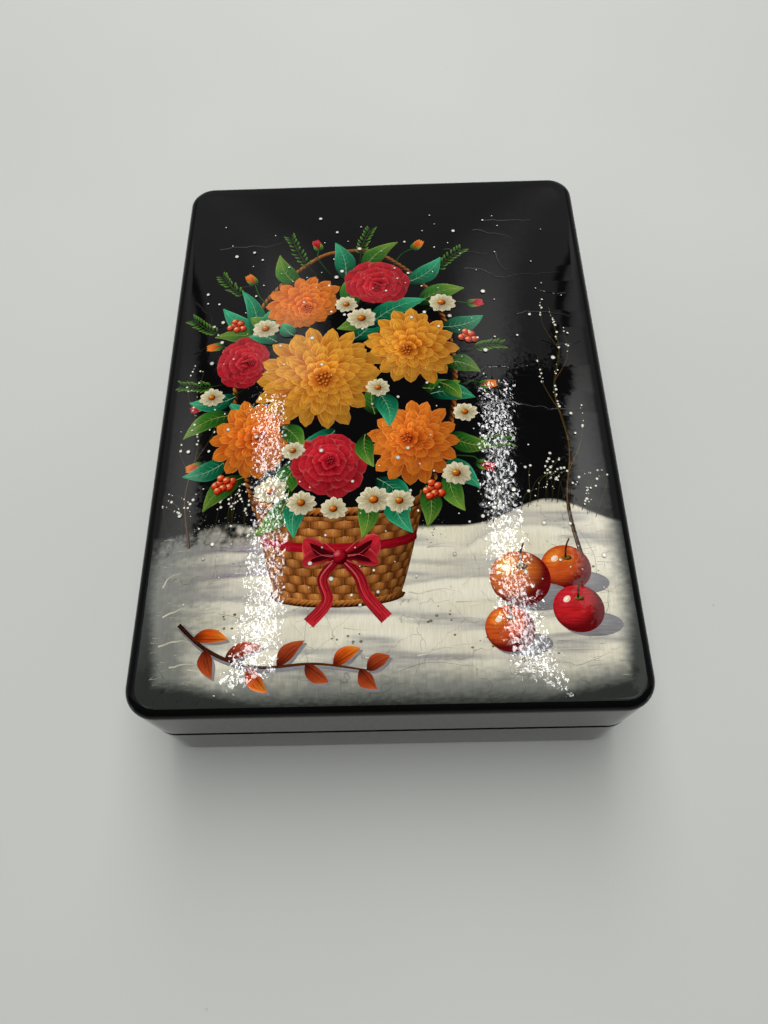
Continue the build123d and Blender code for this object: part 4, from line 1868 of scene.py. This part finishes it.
@dataclass
class Bouquet(Drawing):
    """The flowers, leaves, buds and berries above the basket.

    A leaf or bud has its foot and tip, its width, a leaf its bend, and its colours; a frond its foot and tip; a
    daisy its place and radius; a cluster of berries its place, count and spread.
    """

    amber, crimson, ochre, green, moss = Palette.amber, Palette.crimson, Palette.ochre, Palette.emerald, Palette.moss
    round_form = {"rings": 5, "plump": 1.75, "form": Form.ROUND}
    blossoms: tuple[Bloom, ...] = (
        Bloom(Layer.PEONY_TOP, (7.0, 40.5), 9.2, crimson, 0.5, 80, 9, **round_form),
        Bloom(Layer.DAHLIA_TOP, (-13.5, 34.0), 10.8, amber, 0.5, 120, 14),
        Bloom(Layer.PEONY_LEFT, (-29.0, 14.5), 8.6, crimson, 0.55, 175, 9, **round_form),
        Bloom(Layer.DAHLIA_LEFT, (-25.0, -9.5), 11.6, amber, 0.45, 195, 14),
        Bloom(Layer.DAHLIA_RIGHT, (16.0, 17.5), 13.0, ochre, 0.35, 40, 16),
        Bloom(Layer.DAHLIA_LOW, (15.5, -12.0), 12.2, amber, 0.35, -30, 15),
        Bloom(Layer.PEONY_LOW, (-5.5, -18.0), 9.4, crimson, 0.3, 260, 10, **round_form),
        Bloom(Layer.DAHLIA_MAIN, (-8.5, 8.5), 16.8, ochre, 0.18, 140, 18, 7),
    )
    back_leaves: tuple[tuple, ...] = (
        *((-20, 22, -36, 34, 6.4, 0.10, green), (-22, 20, -37.5, 24, 5.6, -0.12, moss)),
        *((-14, 40, -21, 53, 5.6, 0.12, moss), (-2, 42, -5, 57, 5.8, -0.08, green)),
        *((3, 44, 13, 56.5, 5.6, 0.12, moss), (14, 40, 25, 50, 6.0, -0.12, green)),
        *((18, 32, 31, 38, 6.2, 0.12, moss), (24, 24, 35.5, 28, 6.0, -0.10, green)),
        *((24, 12, 33.5, 9, 5.4, 0.14, moss), (20, 2, 31.5, 1, 5.6, 0.12, green)),
        *((24, -10, 34.5, -13, 5.6, -0.12, moss), (20, -18, 31, -25, 5.8, 0.12, green)),
        *((-30, 4, -42.5, 3, 5.2, 0.12, green), (-30, -2, -43, -8, 5.4, -0.14, moss)),
        *((-30, -14, -42, -19, 5.6, 0.12, green), (-26, -20, -36, -29, 5.4, -0.12, moss)),
        *((0, 30, 3, 47, 6.0, 0.10, moss), (-26, 22, -31, 40, 5.0, -0.10, green)),
        *((4, 24, 20, 34, 6.6, 0.10, green), (-20, 26, -28, 30, 5.6, 0.10, moss)),
        *((18, 4, 28, 6, 5.4, -0.1, moss), (6, -4, 6, 8, 6.8, 0.08, moss)),
        *((-18, -4, -32, 2, 6.0, 0.12, green), (6, -22, 14, -31, 6.0, 0.1, green)),
        *((-12, -16, -17, -28, 6.2, -0.1, moss), (0, 20, 8, 32, 6.4, -0.1, green)),
        *((-4, -8, -14, -14, 6.4, 0.1, green), (24, -20, 27, -31, 5.4, -0.12, moss)),
        *((18, -24, 18, -35, 5.0, 0.1, moss), (-22, 22, -20, 34, 5.6, 0.12, green)),
    )
    front_leaves: tuple[tuple, ...] = (
        *((-15, -24, -23, -36, 5.6, 0.14, moss), (-11, -25, -13.5, -37, 5.2, -0.12, green)),
        *((3, -26, 2.5, -37.5, 5.0, 0.12, moss), (10, -25, 14.5, -36.5, 5.6, -0.12, green)),
        *((6.5, 3, 9.5, -7.5, 5.6, 0.12, green), (-18, -6, -12, -13.5, 5.0, 0.1, moss)),
        *((4.5, 29, -4, 24, 4.8, 0.1, moss), (-20, 20.5, -28, 23, 4.6, -0.12, green)),
        *((22.5, 5.5, 28, 0.5, 4.4, 0.12, moss), (3.5, -9.5, 5.5, -19, 4.6, -0.12, moss)),
        (-15.5, 22.5, -19, 27, 4.4, 0.1, green),
    )
    buds: tuple[tuple, ...] = (
        *((-18, 28, -30, 46, 2.9, amber), (-6, 44, -11, 58.5, 2.6, crimson)),
        *((10, 44, 20, 57, 2.9, amber), (20, 30, 36, 33, 3.0, crimson)),
        *((26, 4, 37.5, 5.5, 2.6, amber), (-28, 6, -42, 0.5, 2.6, crimson)),
        *((-24, 22, -39.5, 20.5, 2.7, amber), (-27, -14, -41.5, -17, 2.5, amber)),
        (24, -16, 35, -19.5, 2.6, crimson),
    )
    fronds: tuple[tuple, ...] = (
        *((-10, 44, -18, 60), (2, 48, 5, 62), (22, 42, 31, 53), (30, 16, 39.5, 18)),
        *((-34, 24, -44, 31), (-34, 8, -45, 9), (28, -14, 39, -12), (-28, 36, -37, 46)),
    )
    daisy_places: tuple[Triple, ...] = (
        *((-19.5, -24.5, 4.2), (-12.0, -28.0, 3.7), (5.4, -27.8, 4.2), (11.5, -28.2, 3.6), (25.5, -21.0, 3.8)),
        *((2.6, 27.4, 4.2), (-1.6, 32.6, 3.3), (24.5, 32.5, 4.0), (-36.5, 4.0, 3.4), (28.6, -3.5, 3.3)),
        *((-23.5, 25.5, 3.8), (6.8, 4.2, 3.2), (-14.5, -13.6, 3.0), (-4.2, -29.9, 3.5)),
    )
    clusters: tuple[tuple, ...] = (
        *((-31.5, -22.0, 9, 2.7), (20.0, -25.5, 8, 2.6), (-31.5, 27.0, 7, 2.4), (31.0, 20.5, 7, 2.3)),
    )
    daisy_petals: int = 11

    def leaves(self) -> None:
        """Makes the leaves behind the flowers and those that hang over the rim."""
        for layer, rows in ((Layer.LEAVES_BACK, self.back_leaves), (Layer.LEAVES_FRONT, self.front_leaves)):
            film = self.film(layer)
            for number, row in enumerate(rows):
                shade = 0.72 + 0.36 * film.random.random() if layer is Layer.LEAVES_BACK else 1.0
                leaf(film, row, number % 5 * 3.0, shade)
            film.piece(self.finishes.paint)

    def sprays(self) -> None:
        """Makes the stems, buds and thin fronds that reach out of the bunch."""
        film = self.film(Layer.BUDS_AND_SPRAYS)
        for row in self.buds:
            bud(film, row)
        for row in self.fronds:
            frond(film, row)
        film.piece(self.finishes.paint)

    def blooms(self) -> None:
        """Makes every large flower, each a piece of its own, from the back of the bunch to its front."""
        for bloom in self.blossoms:
            film = self.film(bloom.layer)
            bloom.paint(film)
            film.piece(self.finishes.paint)

    def daisies(self) -> None:
        """Makes the small cream flowers along the rim and between the large ones."""
        film, petals = self.film(Layer.CREAM_DAISIES), self.daisy_petals
        heart = (Palette.ochre.foot, Palette.ochre.body, Palette.ochre.edge)
        for number, (x, y, radius) in enumerate(self.daisy_places):
            base = 9.0 * (number % 2)
            for petal in range(petals):
                angle = 2 * math.pi * petal / petals + number
                spoke = np.array([math.cos(angle), math.sin(angle) * 0.86])
                tip = np.array([x, y]) + spoke * radius * film.random.uniform(0.9, 1.08)
                shade = 0.84 + 0.16 * float(spoke @ PAINTED_LIGHT)
                lift = base + (6 if petal == petals - 1 else 2 * (petal % 3))
                film.petal((x, y), tip, radius * 0.46, Palette.cream, Form.DAISY, lift, shade)
            film.ball((x, y), radius * 0.28, heart, base + 8.0, 0.9)
        film.piece(self.finishes.paint)

    def berries(self) -> None:
        """Makes clusters of rowan berries at the sides of the bunch."""
        film = self.film(Layer.ROWAN_BERRIES)
        red = (screen(104, 16, 8), screen(206, 66, 26), screen(246, 196, 150))
        eye = (screen(30, 8, 6), screen(40, 12, 8), screen(50, 16, 10))
        for x, y, count, spread in self.clusters:
            for number in range(count):
                angle, reach = number * SPIRAL_TURN, spread * math.sqrt(number / count)
                across, along = x + reach * math.cos(angle), y + reach * math.sin(angle) * 0.8
                film.ball((across, along), 1.05, red, 2 * (number % 4), 1.0, 5, 14)
                film.ball((across + 0.35, along - 0.5), 0.15, eye, 9, 1.0, 1, 6)
        film.piece(self.finishes.paint)


@dataclass
class WindfallStill(Drawing):
    """Apples and a fallen sprig on the snow.

    An apple has its place, its radius and its lit colour; a leaf of the sprig its point along it, its side and
    its length.
    """

    windfalls: tuple[tuple, ...] = (
        (35.5, -42.0, 5.0, Palette.amber.tip),
        (26.2, -44.2, 6.0, Palette.ochre.tip),
        (37.0, -50.4, 5.0, Palette.crimson.tip),
        (23.4, -54.2, 4.8, Palette.amber.tip),
    )
    stem: Run = ((-40.5, -52), (-34, -57.5), (-25, -60.6), (-14, -60.2), (-4, -61.6))
    sprig_leaves: tuple[tuple[int, int, float], ...] = (
        *((8, 1, 7.0), (13, -1, 6.0), (20, 1, 7.6), (27, -1, 6.6), (35, 1, 7.2)),
        *((42, -1, 5.8), (49, 1, 6.2), (56, -1, 5.0), (59, 1, 5.2)),
    )
    front_limit: float = -66.0

    def apples(self) -> None:
        """Makes four apples with shadows on the snow."""
        film = self.film(Layer.SNOW_APPLES)
        dark, flush, streak = screen(96, 10, 14), screen(178, 26, 26), screen(170, 30, 24)
        shade = (Palette.shadow * 0.75, Palette.shadow * 0.95, Palette.shadow)
        dimple = (screen(60, 24, 10), screen(120, 90, 30), screen(150, 120, 50))
        glint = (screen(236, 190, 160), screen(246, 226, 208), screen(252, 244, 236))
        for number, (x, y, radius, light) in enumerate(self.windfalls):
            lift = number * 16.0
            low = lift - 2 if number else 0
            film.ball((x + radius * 0.5, y - radius * 0.62), radius * 1.15, shade, low, 0.42, 5, 26)
            film.ball((x, y), radius, (dark, blend(flush, light, 0.35), light * 1.1), lift + 4, 0.95, 12, 36)
            top = np.array([x + radius * 0.08, y + radius * 0.42])
            share = np.linspace(0.06, 0.52, 8)[:, None]
            for angle in np.linspace(0, 2 * math.pi, 26, endpoint=False):
                out = np.array([math.cos(angle), math.sin(angle) * 0.8])
                path = top + out * radius * share - np.array([0, radius * 0.5]) * share**2
                film.line(path, 0.2, light, streak, lift + 6, 0.8)
            film.ball(top, radius * 0.2, dimple, lift + 8, 0.55, 3, 12)
            stalk = [(x + 0.1, y + radius * 0.42), (x + 0.5, y + radius * 0.9), (x + 1.3, y + radius * 1.25)]
            film.line(flowing(stalk, 8), 0.45, Palette.bark.foot, Palette.bark.body, lift + 10, 0.3)
            film.ball((x - radius * 0.42, y + radius * 0.38), radius * 0.17, glint, lift + 10, 0.7, 2, 10, 0.7)
        film.piece(self.finishes.paint)

    def sprig(self) -> None:
        """Makes a fallen sprig with rust-coloured leaves."""
        film = self.film(Layer.FALLEN_SPRIG)
        path, away = flowing(self.stem, 60), np.array([0.5, -0.5])
        film.line(path + away, 1.5, Palette.shadow * 0.8, Palette.shadow, 0.0, 0.6, 5, 0.1)
        film.line(path, 0.85, Palette.bark.foot, Palette.bark.body, 2.0, 0.6, 5, 0.4)
        shadow = Tones(*[Palette.shadow * 0.85] * 5)
        for number, (place, side, length) in enumerate(self.sprig_leaves):
            foot, ahead = path[place], path[min(place + 1, 59)] - path[place - 1]
            ahead /= np.hypot(*ahead)
            tip = foot + (ahead * 0.75 + beside(ahead) * side * 0.62) * length
            tip[1] = max(tip[1], self.front_limit)
            bend, lift = 0.1 * side, 4.0 + 2 * (number % 3)
            film.petal(foot + away, tip + away, 2.9, shadow, Form.SHADOW, 0.8, 1.0, bend)
            tones = Palette.rust if number % 3 else Palette.amber
            film.petal(foot, tip, 2.9, tones, Form.SPRIG, lift, 0.95, bend, 0.2 * side)
            film.line(straight(foot, tip, 8, 0.04, 0.9), 0.16, tones.line, tones.foot, 10.0, 0.6)
        film.piece(self.finishes.paint)


@dataclass
class Beads(Drawing):
    """Frost beads strung along paths, and falling snow scattered over the crown, both by geometry nodes.

    Spacings and sizes are in millimetres, the density in beads to a square metre.
    """

    strung_spacing: float = 0.78
    strung_size: float = 0.27
    strung_share: float = 0.68
    stray: float = 0.32
    snow_apart: float = 2.2
    snow_density: float = 26000.0
    snow_size: float = 0.36
    snow_low: Point = (-44, -50)
    snow_high: Point = (44, 56)

    @staticmethod
    def start(name: str, sizes: dict[str, float]) -> tuple[Graph, Node, Node]:
        """Starts a tree.

        Args:
            name: The tree's name.
            sizes: The name and usual value of each size that it takes besides its mesh.

        Returns:
            A graph on the tree, its input node and its output node.
        """
        tree = bpy.data.node_groups.new(name, "GeometryNodeTree")
        tree.interface.new_socket("Geometry", in_out="INPUT", socket_type="NodeSocketGeometry")
        for label, value in sizes.items():
            tree.interface.new_socket(label, in_out="INPUT", socket_type="NodeSocketFloat").default_value = value
        tree.interface.new_socket("Geometry", in_out="OUTPUT", socket_type="NodeSocketGeometry")
        graph = Graph(tree)
        return graph, graph.node("NodeGroupInput"), graph.node("NodeGroupOutput")

    @staticmethod
    def bead(graph: Graph) -> Socket:
        """Makes one flat bead of paint of radius 1, with a white middle and a thin grey rim.

        Args:
            graph: The tree that it goes into.

        Returns:
            The bead's mesh.
        """
        disc = graph.out("GeometryNodeMeshCircle", {"Vertices": 10, "Radius": 1.0}, fill_type="TRIANGLE_FAN")
        fine = graph.out("GeometryNodeSubdivideMesh", {"Mesh": disc, "Level": 1})
        place = graph.out("GeometryNodeInputPosition")
        reach = graph.out("ShaderNodeVectorMath", {0: place}, "Value", operation="LENGTH")
        rim = graph.out("ShaderNodeMapRange", {"Value": reach, "From Min": 0.55, "From Max": 1.0})
        tone = graph.mix(rim, rgba(screen(236, 233, 222)), rgba(screen(120, 118, 108)))
        stored = {"Geometry": fine, "Name": "Paint", "Value": tone}
        return graph.out("GeometryNodeStoreNamedAttribute", stored, data_type="FLOAT_COLOR", domain="POINT")

    def finish(self, graph: Graph, points: Value, turn: Value, scale: Value, leave: Node) -> None:
        """Puts a bead on every point, makes them real and gives them their material.

        Args:
            graph: The tree.
            points: The points.
            turn: How each bead is turned.
            scale: How large each bead is.
            leave: The tree's output node.
        """
        inputs = {"Points": points, "Instance": self.bead(graph), "Rotation": turn, "Scale": scale}
        beads = graph.out("GeometryNodeInstanceOnPoints", inputs)
        real = graph.out("GeometryNodeRealizeInstances", {"Geometry": beads})
        coat = {"Geometry": real, "Material": self.finishes.paint}
        graph.put(leave.inputs[0], graph.out("GeometryNodeSetMaterial", coat))

    @staticmethod
    def grown(piece: Piece, tree: Tree, sizes: dict[str, float]) -> None:
        """Runs a tree on a piece and keeps the plain mesh.

        Args:
            piece: The piece.
            tree: The tree.
            sizes: The value of each of the tree's sizes.
        """
        modifier = piece.modifiers.new(tree.name, "NODES")
        modifier.node_group = tree
        for socket in tree.interface.items_tree:
            if socket.item_type == "SOCKET" and socket.in_out == "INPUT" and socket.name in sizes:
                modifier[socket.identifier] = sizes[socket.name]
        baked(piece)
        seated(piece, Body.LID, "lid_painted")

    def strung(self, paths: list[Array]) -> None:
        """Makes the beads along paths, smaller and sparser here and there.

        Args:
            paths: The paths in plan.
        """
        level, seed = Layer.FROST_BEADS.value
        graph, entry, leave = self.start("Frost Beads", {"Spacing": 0.8, "Size": 0.3})
        curve = graph.out("GeometryNodeMeshToCurve", {"Mesh": entry.outputs["Geometry"]})
        spacing = {"Curve": curve, "Length": entry.outputs["Spacing"]}
        spaced = graph.out("GeometryNodeResampleCurve", spacing, mode="LENGTH")
        points = graph.out("GeometryNodeCurveToPoints", {"Curve": spaced}, "Points", mode="EVALUATED")
        lean = graph.out("GeometryNodeInputNamedAttribute", {"Name": "Lean"}, data_type="FLOAT_VECTOR")
        turn = graph.out("FunctionNodeAlignRotationToVector", {"Vector": lean}, axis="Z")
        chance = {"Probability": self.strung_share, "Seed": seed}
        pick = graph.out("FunctionNodeRandomValue", chance, "Value", data_type="BOOLEAN")
        chosen = {"Geometry": points, "Selection": pick}
        kept = graph.out("GeometryNodeSeparateGeometry", chosen, domain="POINT")
        far = self.stray * MM
        swing = {0: (-far, -far, 0.0), 1: (far, far, 0.0), "Seed": seed + 2}
        stray = graph.out("FunctionNodeRandomValue", swing, data_type="FLOAT_VECTOR")
        kept = graph.out("GeometryNodeSetPosition", {"Geometry": kept, "Offset": stray})
        sizes = {"Min": 0.3, "Max": 1.3, "Seed": seed + 1}
        vary = graph.out("FunctionNodeRandomValue", sizes, "Value", data_type="FLOAT")
        self.finish(graph, kept, turn, graph.times(vary, entry.outputs["Size"]), leave)
        flat = np.vstack(paths)
        height = self.walls.surface(flat[:, 0], flat[:, 1]) + level * MM
        starts = np.cumsum([0] + [len(path) for path in paths])
        edges = [(number, number + 1) for low, high in zip(starts, starts[1:]) for number in range(low, high - 1)]
        made = new_piece(Layer.FROST_BEADS.name.lower(), np.column_stack([flat, height]), [], [], edges)
        outwards = made.data.attributes.new("Lean", "FLOAT_VECTOR", "POINT")
        outwards.data.foreach_set("vector", self.walls.lean(flat).ravel())
        self.grown(made, graph.tree, {"Spacing": self.strung_spacing * MM, "Size": self.strung_size * MM})

    def scattered(self) -> None:
        """Makes the falling snow."""
        layer = Layer.FALLING_SNOW
        seed = layer.value[1]
        usual = {"Apart": 1.0, "Density": 1.0, "Size": 0.3}
        graph, entry, leave = self.start(f"Scatter {layer.name.lower()}", usual)
        mesh, apart, density = (entry.outputs[label] for label in ("Geometry", "Apart", "Density"))
        inputs = {"Mesh": mesh, "Distance Min": apart, "Density Max": density, "Seed": seed}
        spread = graph.node("GeometryNodeDistributePointsOnFaces", inputs, distribute_method="POISSON").outputs
        sizes = {"Min": 0.0, "Max": 1.0, "Seed": seed + 1}
        vary = graph.out("FunctionNodeRandomValue", sizes, "Value", data_type="FLOAT")
        scale = graph.times_plus(graph.math("POWER", vary, 2.6), 1.1, 0.45)
        scale = graph.times(scale, entry.outputs["Size"])
        self.finish(graph, spread["Points"], spread["Rotation"], scale, leave)
        film = self.film(layer)
        (left, near), (right, far) = self.snow_low, self.snow_high
        y, x = np.meshgrid(np.linspace(near, far, 40), np.linspace(left, right, 30), indexing="ij")
        film.grid(x, y, np.ones((*x.shape, 3)), 0.0, (right - left, far - near))
        values = {"Apart": self.snow_apart * MM, "Density": self.snow_density, "Size": self.snow_size * MM}
        self.grown(film.bare(self.finishes.paint), graph.tree, values)


# ---------------------------------------------------------------- studio


@dataclass(frozen=True)
class Studio:
    """The floor, the lamps, the surroundings and the camera, in millimetres and degrees."""

    camera_place: Triple = (2.1, -97.2, 174.2)
    heading: float = -2.03
    tilt: float = 63.70
    roll: float = -3.18
    lens: float = 26.33
    film_width: float = 36.0
    nearest: float = 10.0
    floor_half: float = 640.0
    floor_drop: float = 0.05
    floor_colour: Array = field(default_factory=lambda: screen(206, 208, 204))
    key_place: Triple = (0, 325, 650)
    key_size: Point = (400, 1150)
    key_radiance: float = 3.75
    tube_runs: tuple[tuple[str, Point, Point], ...] = (
        ("left", (-358, 110), (-541, 1060)),
        ("right", (336, 115), (478, 1080)),
    )
    tube_count: int = 4
    tube_height: float = 1500.0
    tube_width: float = 6.5
    tube_gaps: Point = (20, 35)
    tube_radiance: float = 30.0
    soft_level: float = 0.21

    def floor(self) -> None:
        """Makes a pale paper-like floor with faint specks."""
        coat = Coat("studio_floor")
        graph = coat.graph
        place = graph.object_place()
        cloud = graph.ramp(graph.noise(place, 9.0, 2.0, 0.5), 0.3, 0.7)
        dot = graph.times(graph.under(graph.cells(place, 55.0)["Distance"], 0.018), 0.22)
        base = graph.mix(cloud, rgba(self.floor_colour * 0.985), rgba(self.floor_colour * 1.015))
        colour = graph.mix(dot, base, rgba(screen(150, 148, 144)))
        coat.set(Base_Color=colour, Roughness=0.8, Specular_IOR_Level=0.0)
        half, low = self.floor_half, -self.floor_drop
        points = [(-half, -half, low), (half, -half, low), (half, half, low), (-half, half, low)]
        floor = new_piece("floor", points, [(0, 1, 2, 3)], [coat.material])

    def lamp(self, name: str, place: Vector, size: Point, radiance: float, turn: float = 0.0) -> Piece:
        """Hangs a flat lamp that faces straight down.

        Args:
            name: Its name.
            place: Its middle, in millimetres.
            size: Its width and length in millimetres, the length along its own Y.
            radiance: How bright its face is, where 1 is white.
            turn: How far it is turned about the vertical, in radians.

        Returns:
            The lamp object.
        """
        light = bpy.data.lights.new(name, "AREA")
        light.shape, light.size, light.size_y = "RECTANGLE", size[0] * MM, size[1] * MM
        light.energy = radiance * math.pi * size[0] * size[1] * MM * MM
        lamp = bpy.data.objects.new(name, light)
        bpy.context.scene.collection.objects.link(lamp)
        lamp.location = place * MM
        lamp.rotation_euler = (0, 0, turn)
        return lamp

    def lamps(self) -> None:
        """A long soft strip overhead that reaches to the back, and two sets of thin ceiling tubes for the gloss."""
        key = self.lamp("key", Vector(self.key_place), self.key_size, self.key_radiance, math.pi)
        key.data.color = (1.0, 1.0, 0.99)
        key.visible_glossy = False
        for side, near, far in self.tube_runs:
            for number in range(self.tube_count):
                aside = number - (self.tube_count - 1) / 2
                first = Vector((near[0] + self.tube_gaps[0] * aside, near[1], self.tube_height))
                last = Vector((far[0] + self.tube_gaps[1] * aside, far[1], self.tube_height))
                run, size = last - first, (self.tube_width, (last - first).length)
                turn = math.atan2(run.y, run.x) - math.pi / 2
                name = f"tube_{side}_{number + 1}"
                self.lamp(name, (first + last) / 2, size, self.tube_radiance, turn).visible_diffuse = False

    def surroundings(self) -> None:
        """Even light for surfaces, a pale backdrop for the camera, and a dim room for the gloss."""
        world = bpy.data.worlds.new("studio_world")
        world.use_nodes = True
        world.node_tree.nodes.clear()
        graph = Graph(world.node_tree)
        ray = graph.node("ShaderNodeLightPath").outputs
        x, y, z = graph.split(graph.out("ShaderNodeTexCoord", output="Generated"))
        up = graph.larger(z, 0.02)
        across = graph.over(x, up)
        aside, ahead = graph.size(across), graph.over(graph.size(y), up)
        left = graph.under(across, 0.0)
        # A dark patch stands out against the ceiling, narrow at its far end and stepped wider twice.
        steps = graph.plus(graph.ramp(aside, 0.33, 0.40, 0.0, 0.07), graph.ramp(aside, 0.48, 0.60, 0.0, 0.06))
        edge = graph.plus(graph.ramp(aside, 0.15, 0.21, 1.04, 0.76), steps)
        # Past its widest step a dark gap, then a bright band beside it, both leaning with the ceiling's run.
        side = graph.times_plus(left, -0.05, aside)
        rim = graph.times_plus(graph.larger(graph.minus(0.8, ahead), 0.0), -0.333, 0.536)
        past = graph.minus(side, rim)
        shown = graph.larger(graph.ramp(graph.minus(ahead, edge), -0.012, 0.012), graph.ramp(past, 0.0, 0.02))
        glow = graph.times(graph.ramp(aside, 0.17, 0.27), graph.ramp(aside, 0.43, 0.30))
        level = graph.ramp(aside, 0.25, 0.45, 0.16, 0.23)
        ceiling = graph.times_plus(glow, graph.ramp(ahead, 1.45, 0.85, 0.0, 0.75), level)
        gap = graph.times(graph.ramp(past, -0.03, -0.015), graph.ramp(past, 0.012, 0.0))
        gap = graph.times(gap, graph.ramp(ahead, 1.16, 1.09))
        ceiling = graph.times(graph.times(ceiling, shown), graph.minus(1.0, gap))
        band = graph.times(graph.ramp(past, 0.0, 0.035), graph.ramp(past, 0.16, 0.05))
        band = graph.times(band, graph.ramp(ahead, 0.95, 0.56, 0.22, 1.8))
        band = graph.times(band, graph.times_plus(left, -0.5, 1.0))
        band = graph.times(band, graph.ramp(ahead, 0.2, 0.45))
        low = graph.ramp(z, 0.5, 0.15, 0.0, 0.12)
        room = graph.times(graph.plus(graph.plus(ceiling, band), low), graph.ramp(y, 0.0, -0.06, 1.0, 0.06))
        glossy = graph.out("ShaderNodeCombineColor", {0: room, 1: room, 2: graph.times(room, 0.98)})
        soft = graph.mix(ray["Is Glossy Ray"], (*[self.soft_level] * 3, 1.0), glossy)
        seen = graph.mix(ray["Is Camera Ray"], soft, rgba(screen(226, 228, 226)))
        shine = graph.out("ShaderNodeBackground", {"Color": seen, "Strength": 1.0})
        graph.node("ShaderNodeOutputWorld", {"Surface": shine})
        bpy.context.scene.world = world

    def camera(self) -> None:
        """Places and turns the camera as the photograph's."""
        turn, down, roll = (math.radians(angle) for angle in (self.heading, self.tilt, self.roll))
        ahead = Vector((math.sin(turn) * math.cos(down), math.cos(turn) * math.cos(down), -math.sin(down)))
        level = Vector((math.cos(turn), -math.sin(turn), 0))
        upright = level.cross(ahead)
        right = level * math.cos(roll) + upright * math.sin(roll)
        top = -level * math.sin(roll) + upright * math.cos(roll)
        lens = bpy.data.cameras.new("view")
        lens.lens, lens.sensor_width, lens.clip_start = self.lens, self.film_width, self.nearest * MM
        camera = bpy.data.objects.new("view", lens)
        bpy.context.scene.collection.objects.link(camera)
        turned = Matrix((right, top, -ahead)).transposed().to_4x4()
        camera.matrix_world = Matrix.Translation(Vector(self.camera_place) * MM) @ turned
        bpy.context.scene.camera = camera

    def build(self) -> None:
        """Sets the whole studio up."""
        bpy.context.scene.view_settings.view_transform = "Standard"
        self.floor()
        self.lamps()
        self.surroundings()
        self.camera()


# ---------------------------------------------------------------- the box


def dress_hardware(finishes: Finishes) -> None:
    """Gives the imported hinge, lips and bottom their materials.

    Args:
        finishes: The materials.
    """
    coats = (
        (finishes.brass, ("hinge_leaf_base", "hinge_leaf_lid", "base_cross_pins", "lid_cross_pins")),
        (finishes.steel, ("hinge_wire",)),
        (finishes.bottom, ("bottom_panel",)),
        (finishes.red, ("lip_front", "lip_rear", "lip_left", "lip_right")),
    )
    for material, names in coats:
        for name in names:
            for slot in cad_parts[name].material_slots:
                slot.link = "OBJECT"
                slot.material = material
            LOG.info("dressed %s with %s", name, material.name)


@dataclass
class WinterPicture:
    """The whole painting on the lid."""

    walls: BoxWalls
    finishes: Finishes
    bunch_placing: Placing = Placing(0.86, (-7.0, -3.0))

    def build(self) -> None:
        """Paints the picture from the ground up."""
        box = (self.walls, self.finishes)
        snow = SnowGround(*box)
        grasses = Grasses(*box)
        basket = Basket(*box, self.bunch_placing)
        bouquet = Bouquet(*box, self.bunch_placing)
        still = WindfallStill(*box)
        snow.sheet()
        snow.marks()
        Creases(*box).piece()
        grasses.blades(snow)
        grasses.twigs()
        for make in (basket.weave, basket.rims, basket.handle, basket.ribbon):
            make()
        for make in (bouquet.leaves, bouquet.sprays, bouquet.blooms, bouquet.daisies, bouquet.berries):
            make()
        still.apples()
        still.sprig()
        beads = Beads(*box)
        beads.strung(grasses.bead_paths)
        beads.scattered()


def main() -> None:
    """Builds the scene piece by piece."""
    logging.basicConfig(level=logging.INFO, format="%(name)s: %(message)s")
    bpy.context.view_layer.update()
    walls = BoxWalls()
    finishes = Finishes(Effects(), walls.seam)
    Studio().build()
    joint = RearJoint(walls.seam, walls.length / 2)
    base = walls.base_shell(finishes)
    joint.cut(base, -1)
    seated(base, Body.BASE, "base_lacquer", "base_frame")
    lid = walls.lid_shell(finishes)
    joint.cut(lid, 1)
    seated(lid, Body.LID, "lid_lacquer", "lid_frame", "lid_panel")
    dress_hardware(finishes)
    WinterPicture(walls, finishes).build()


if __name__ == "__main__":
    main()
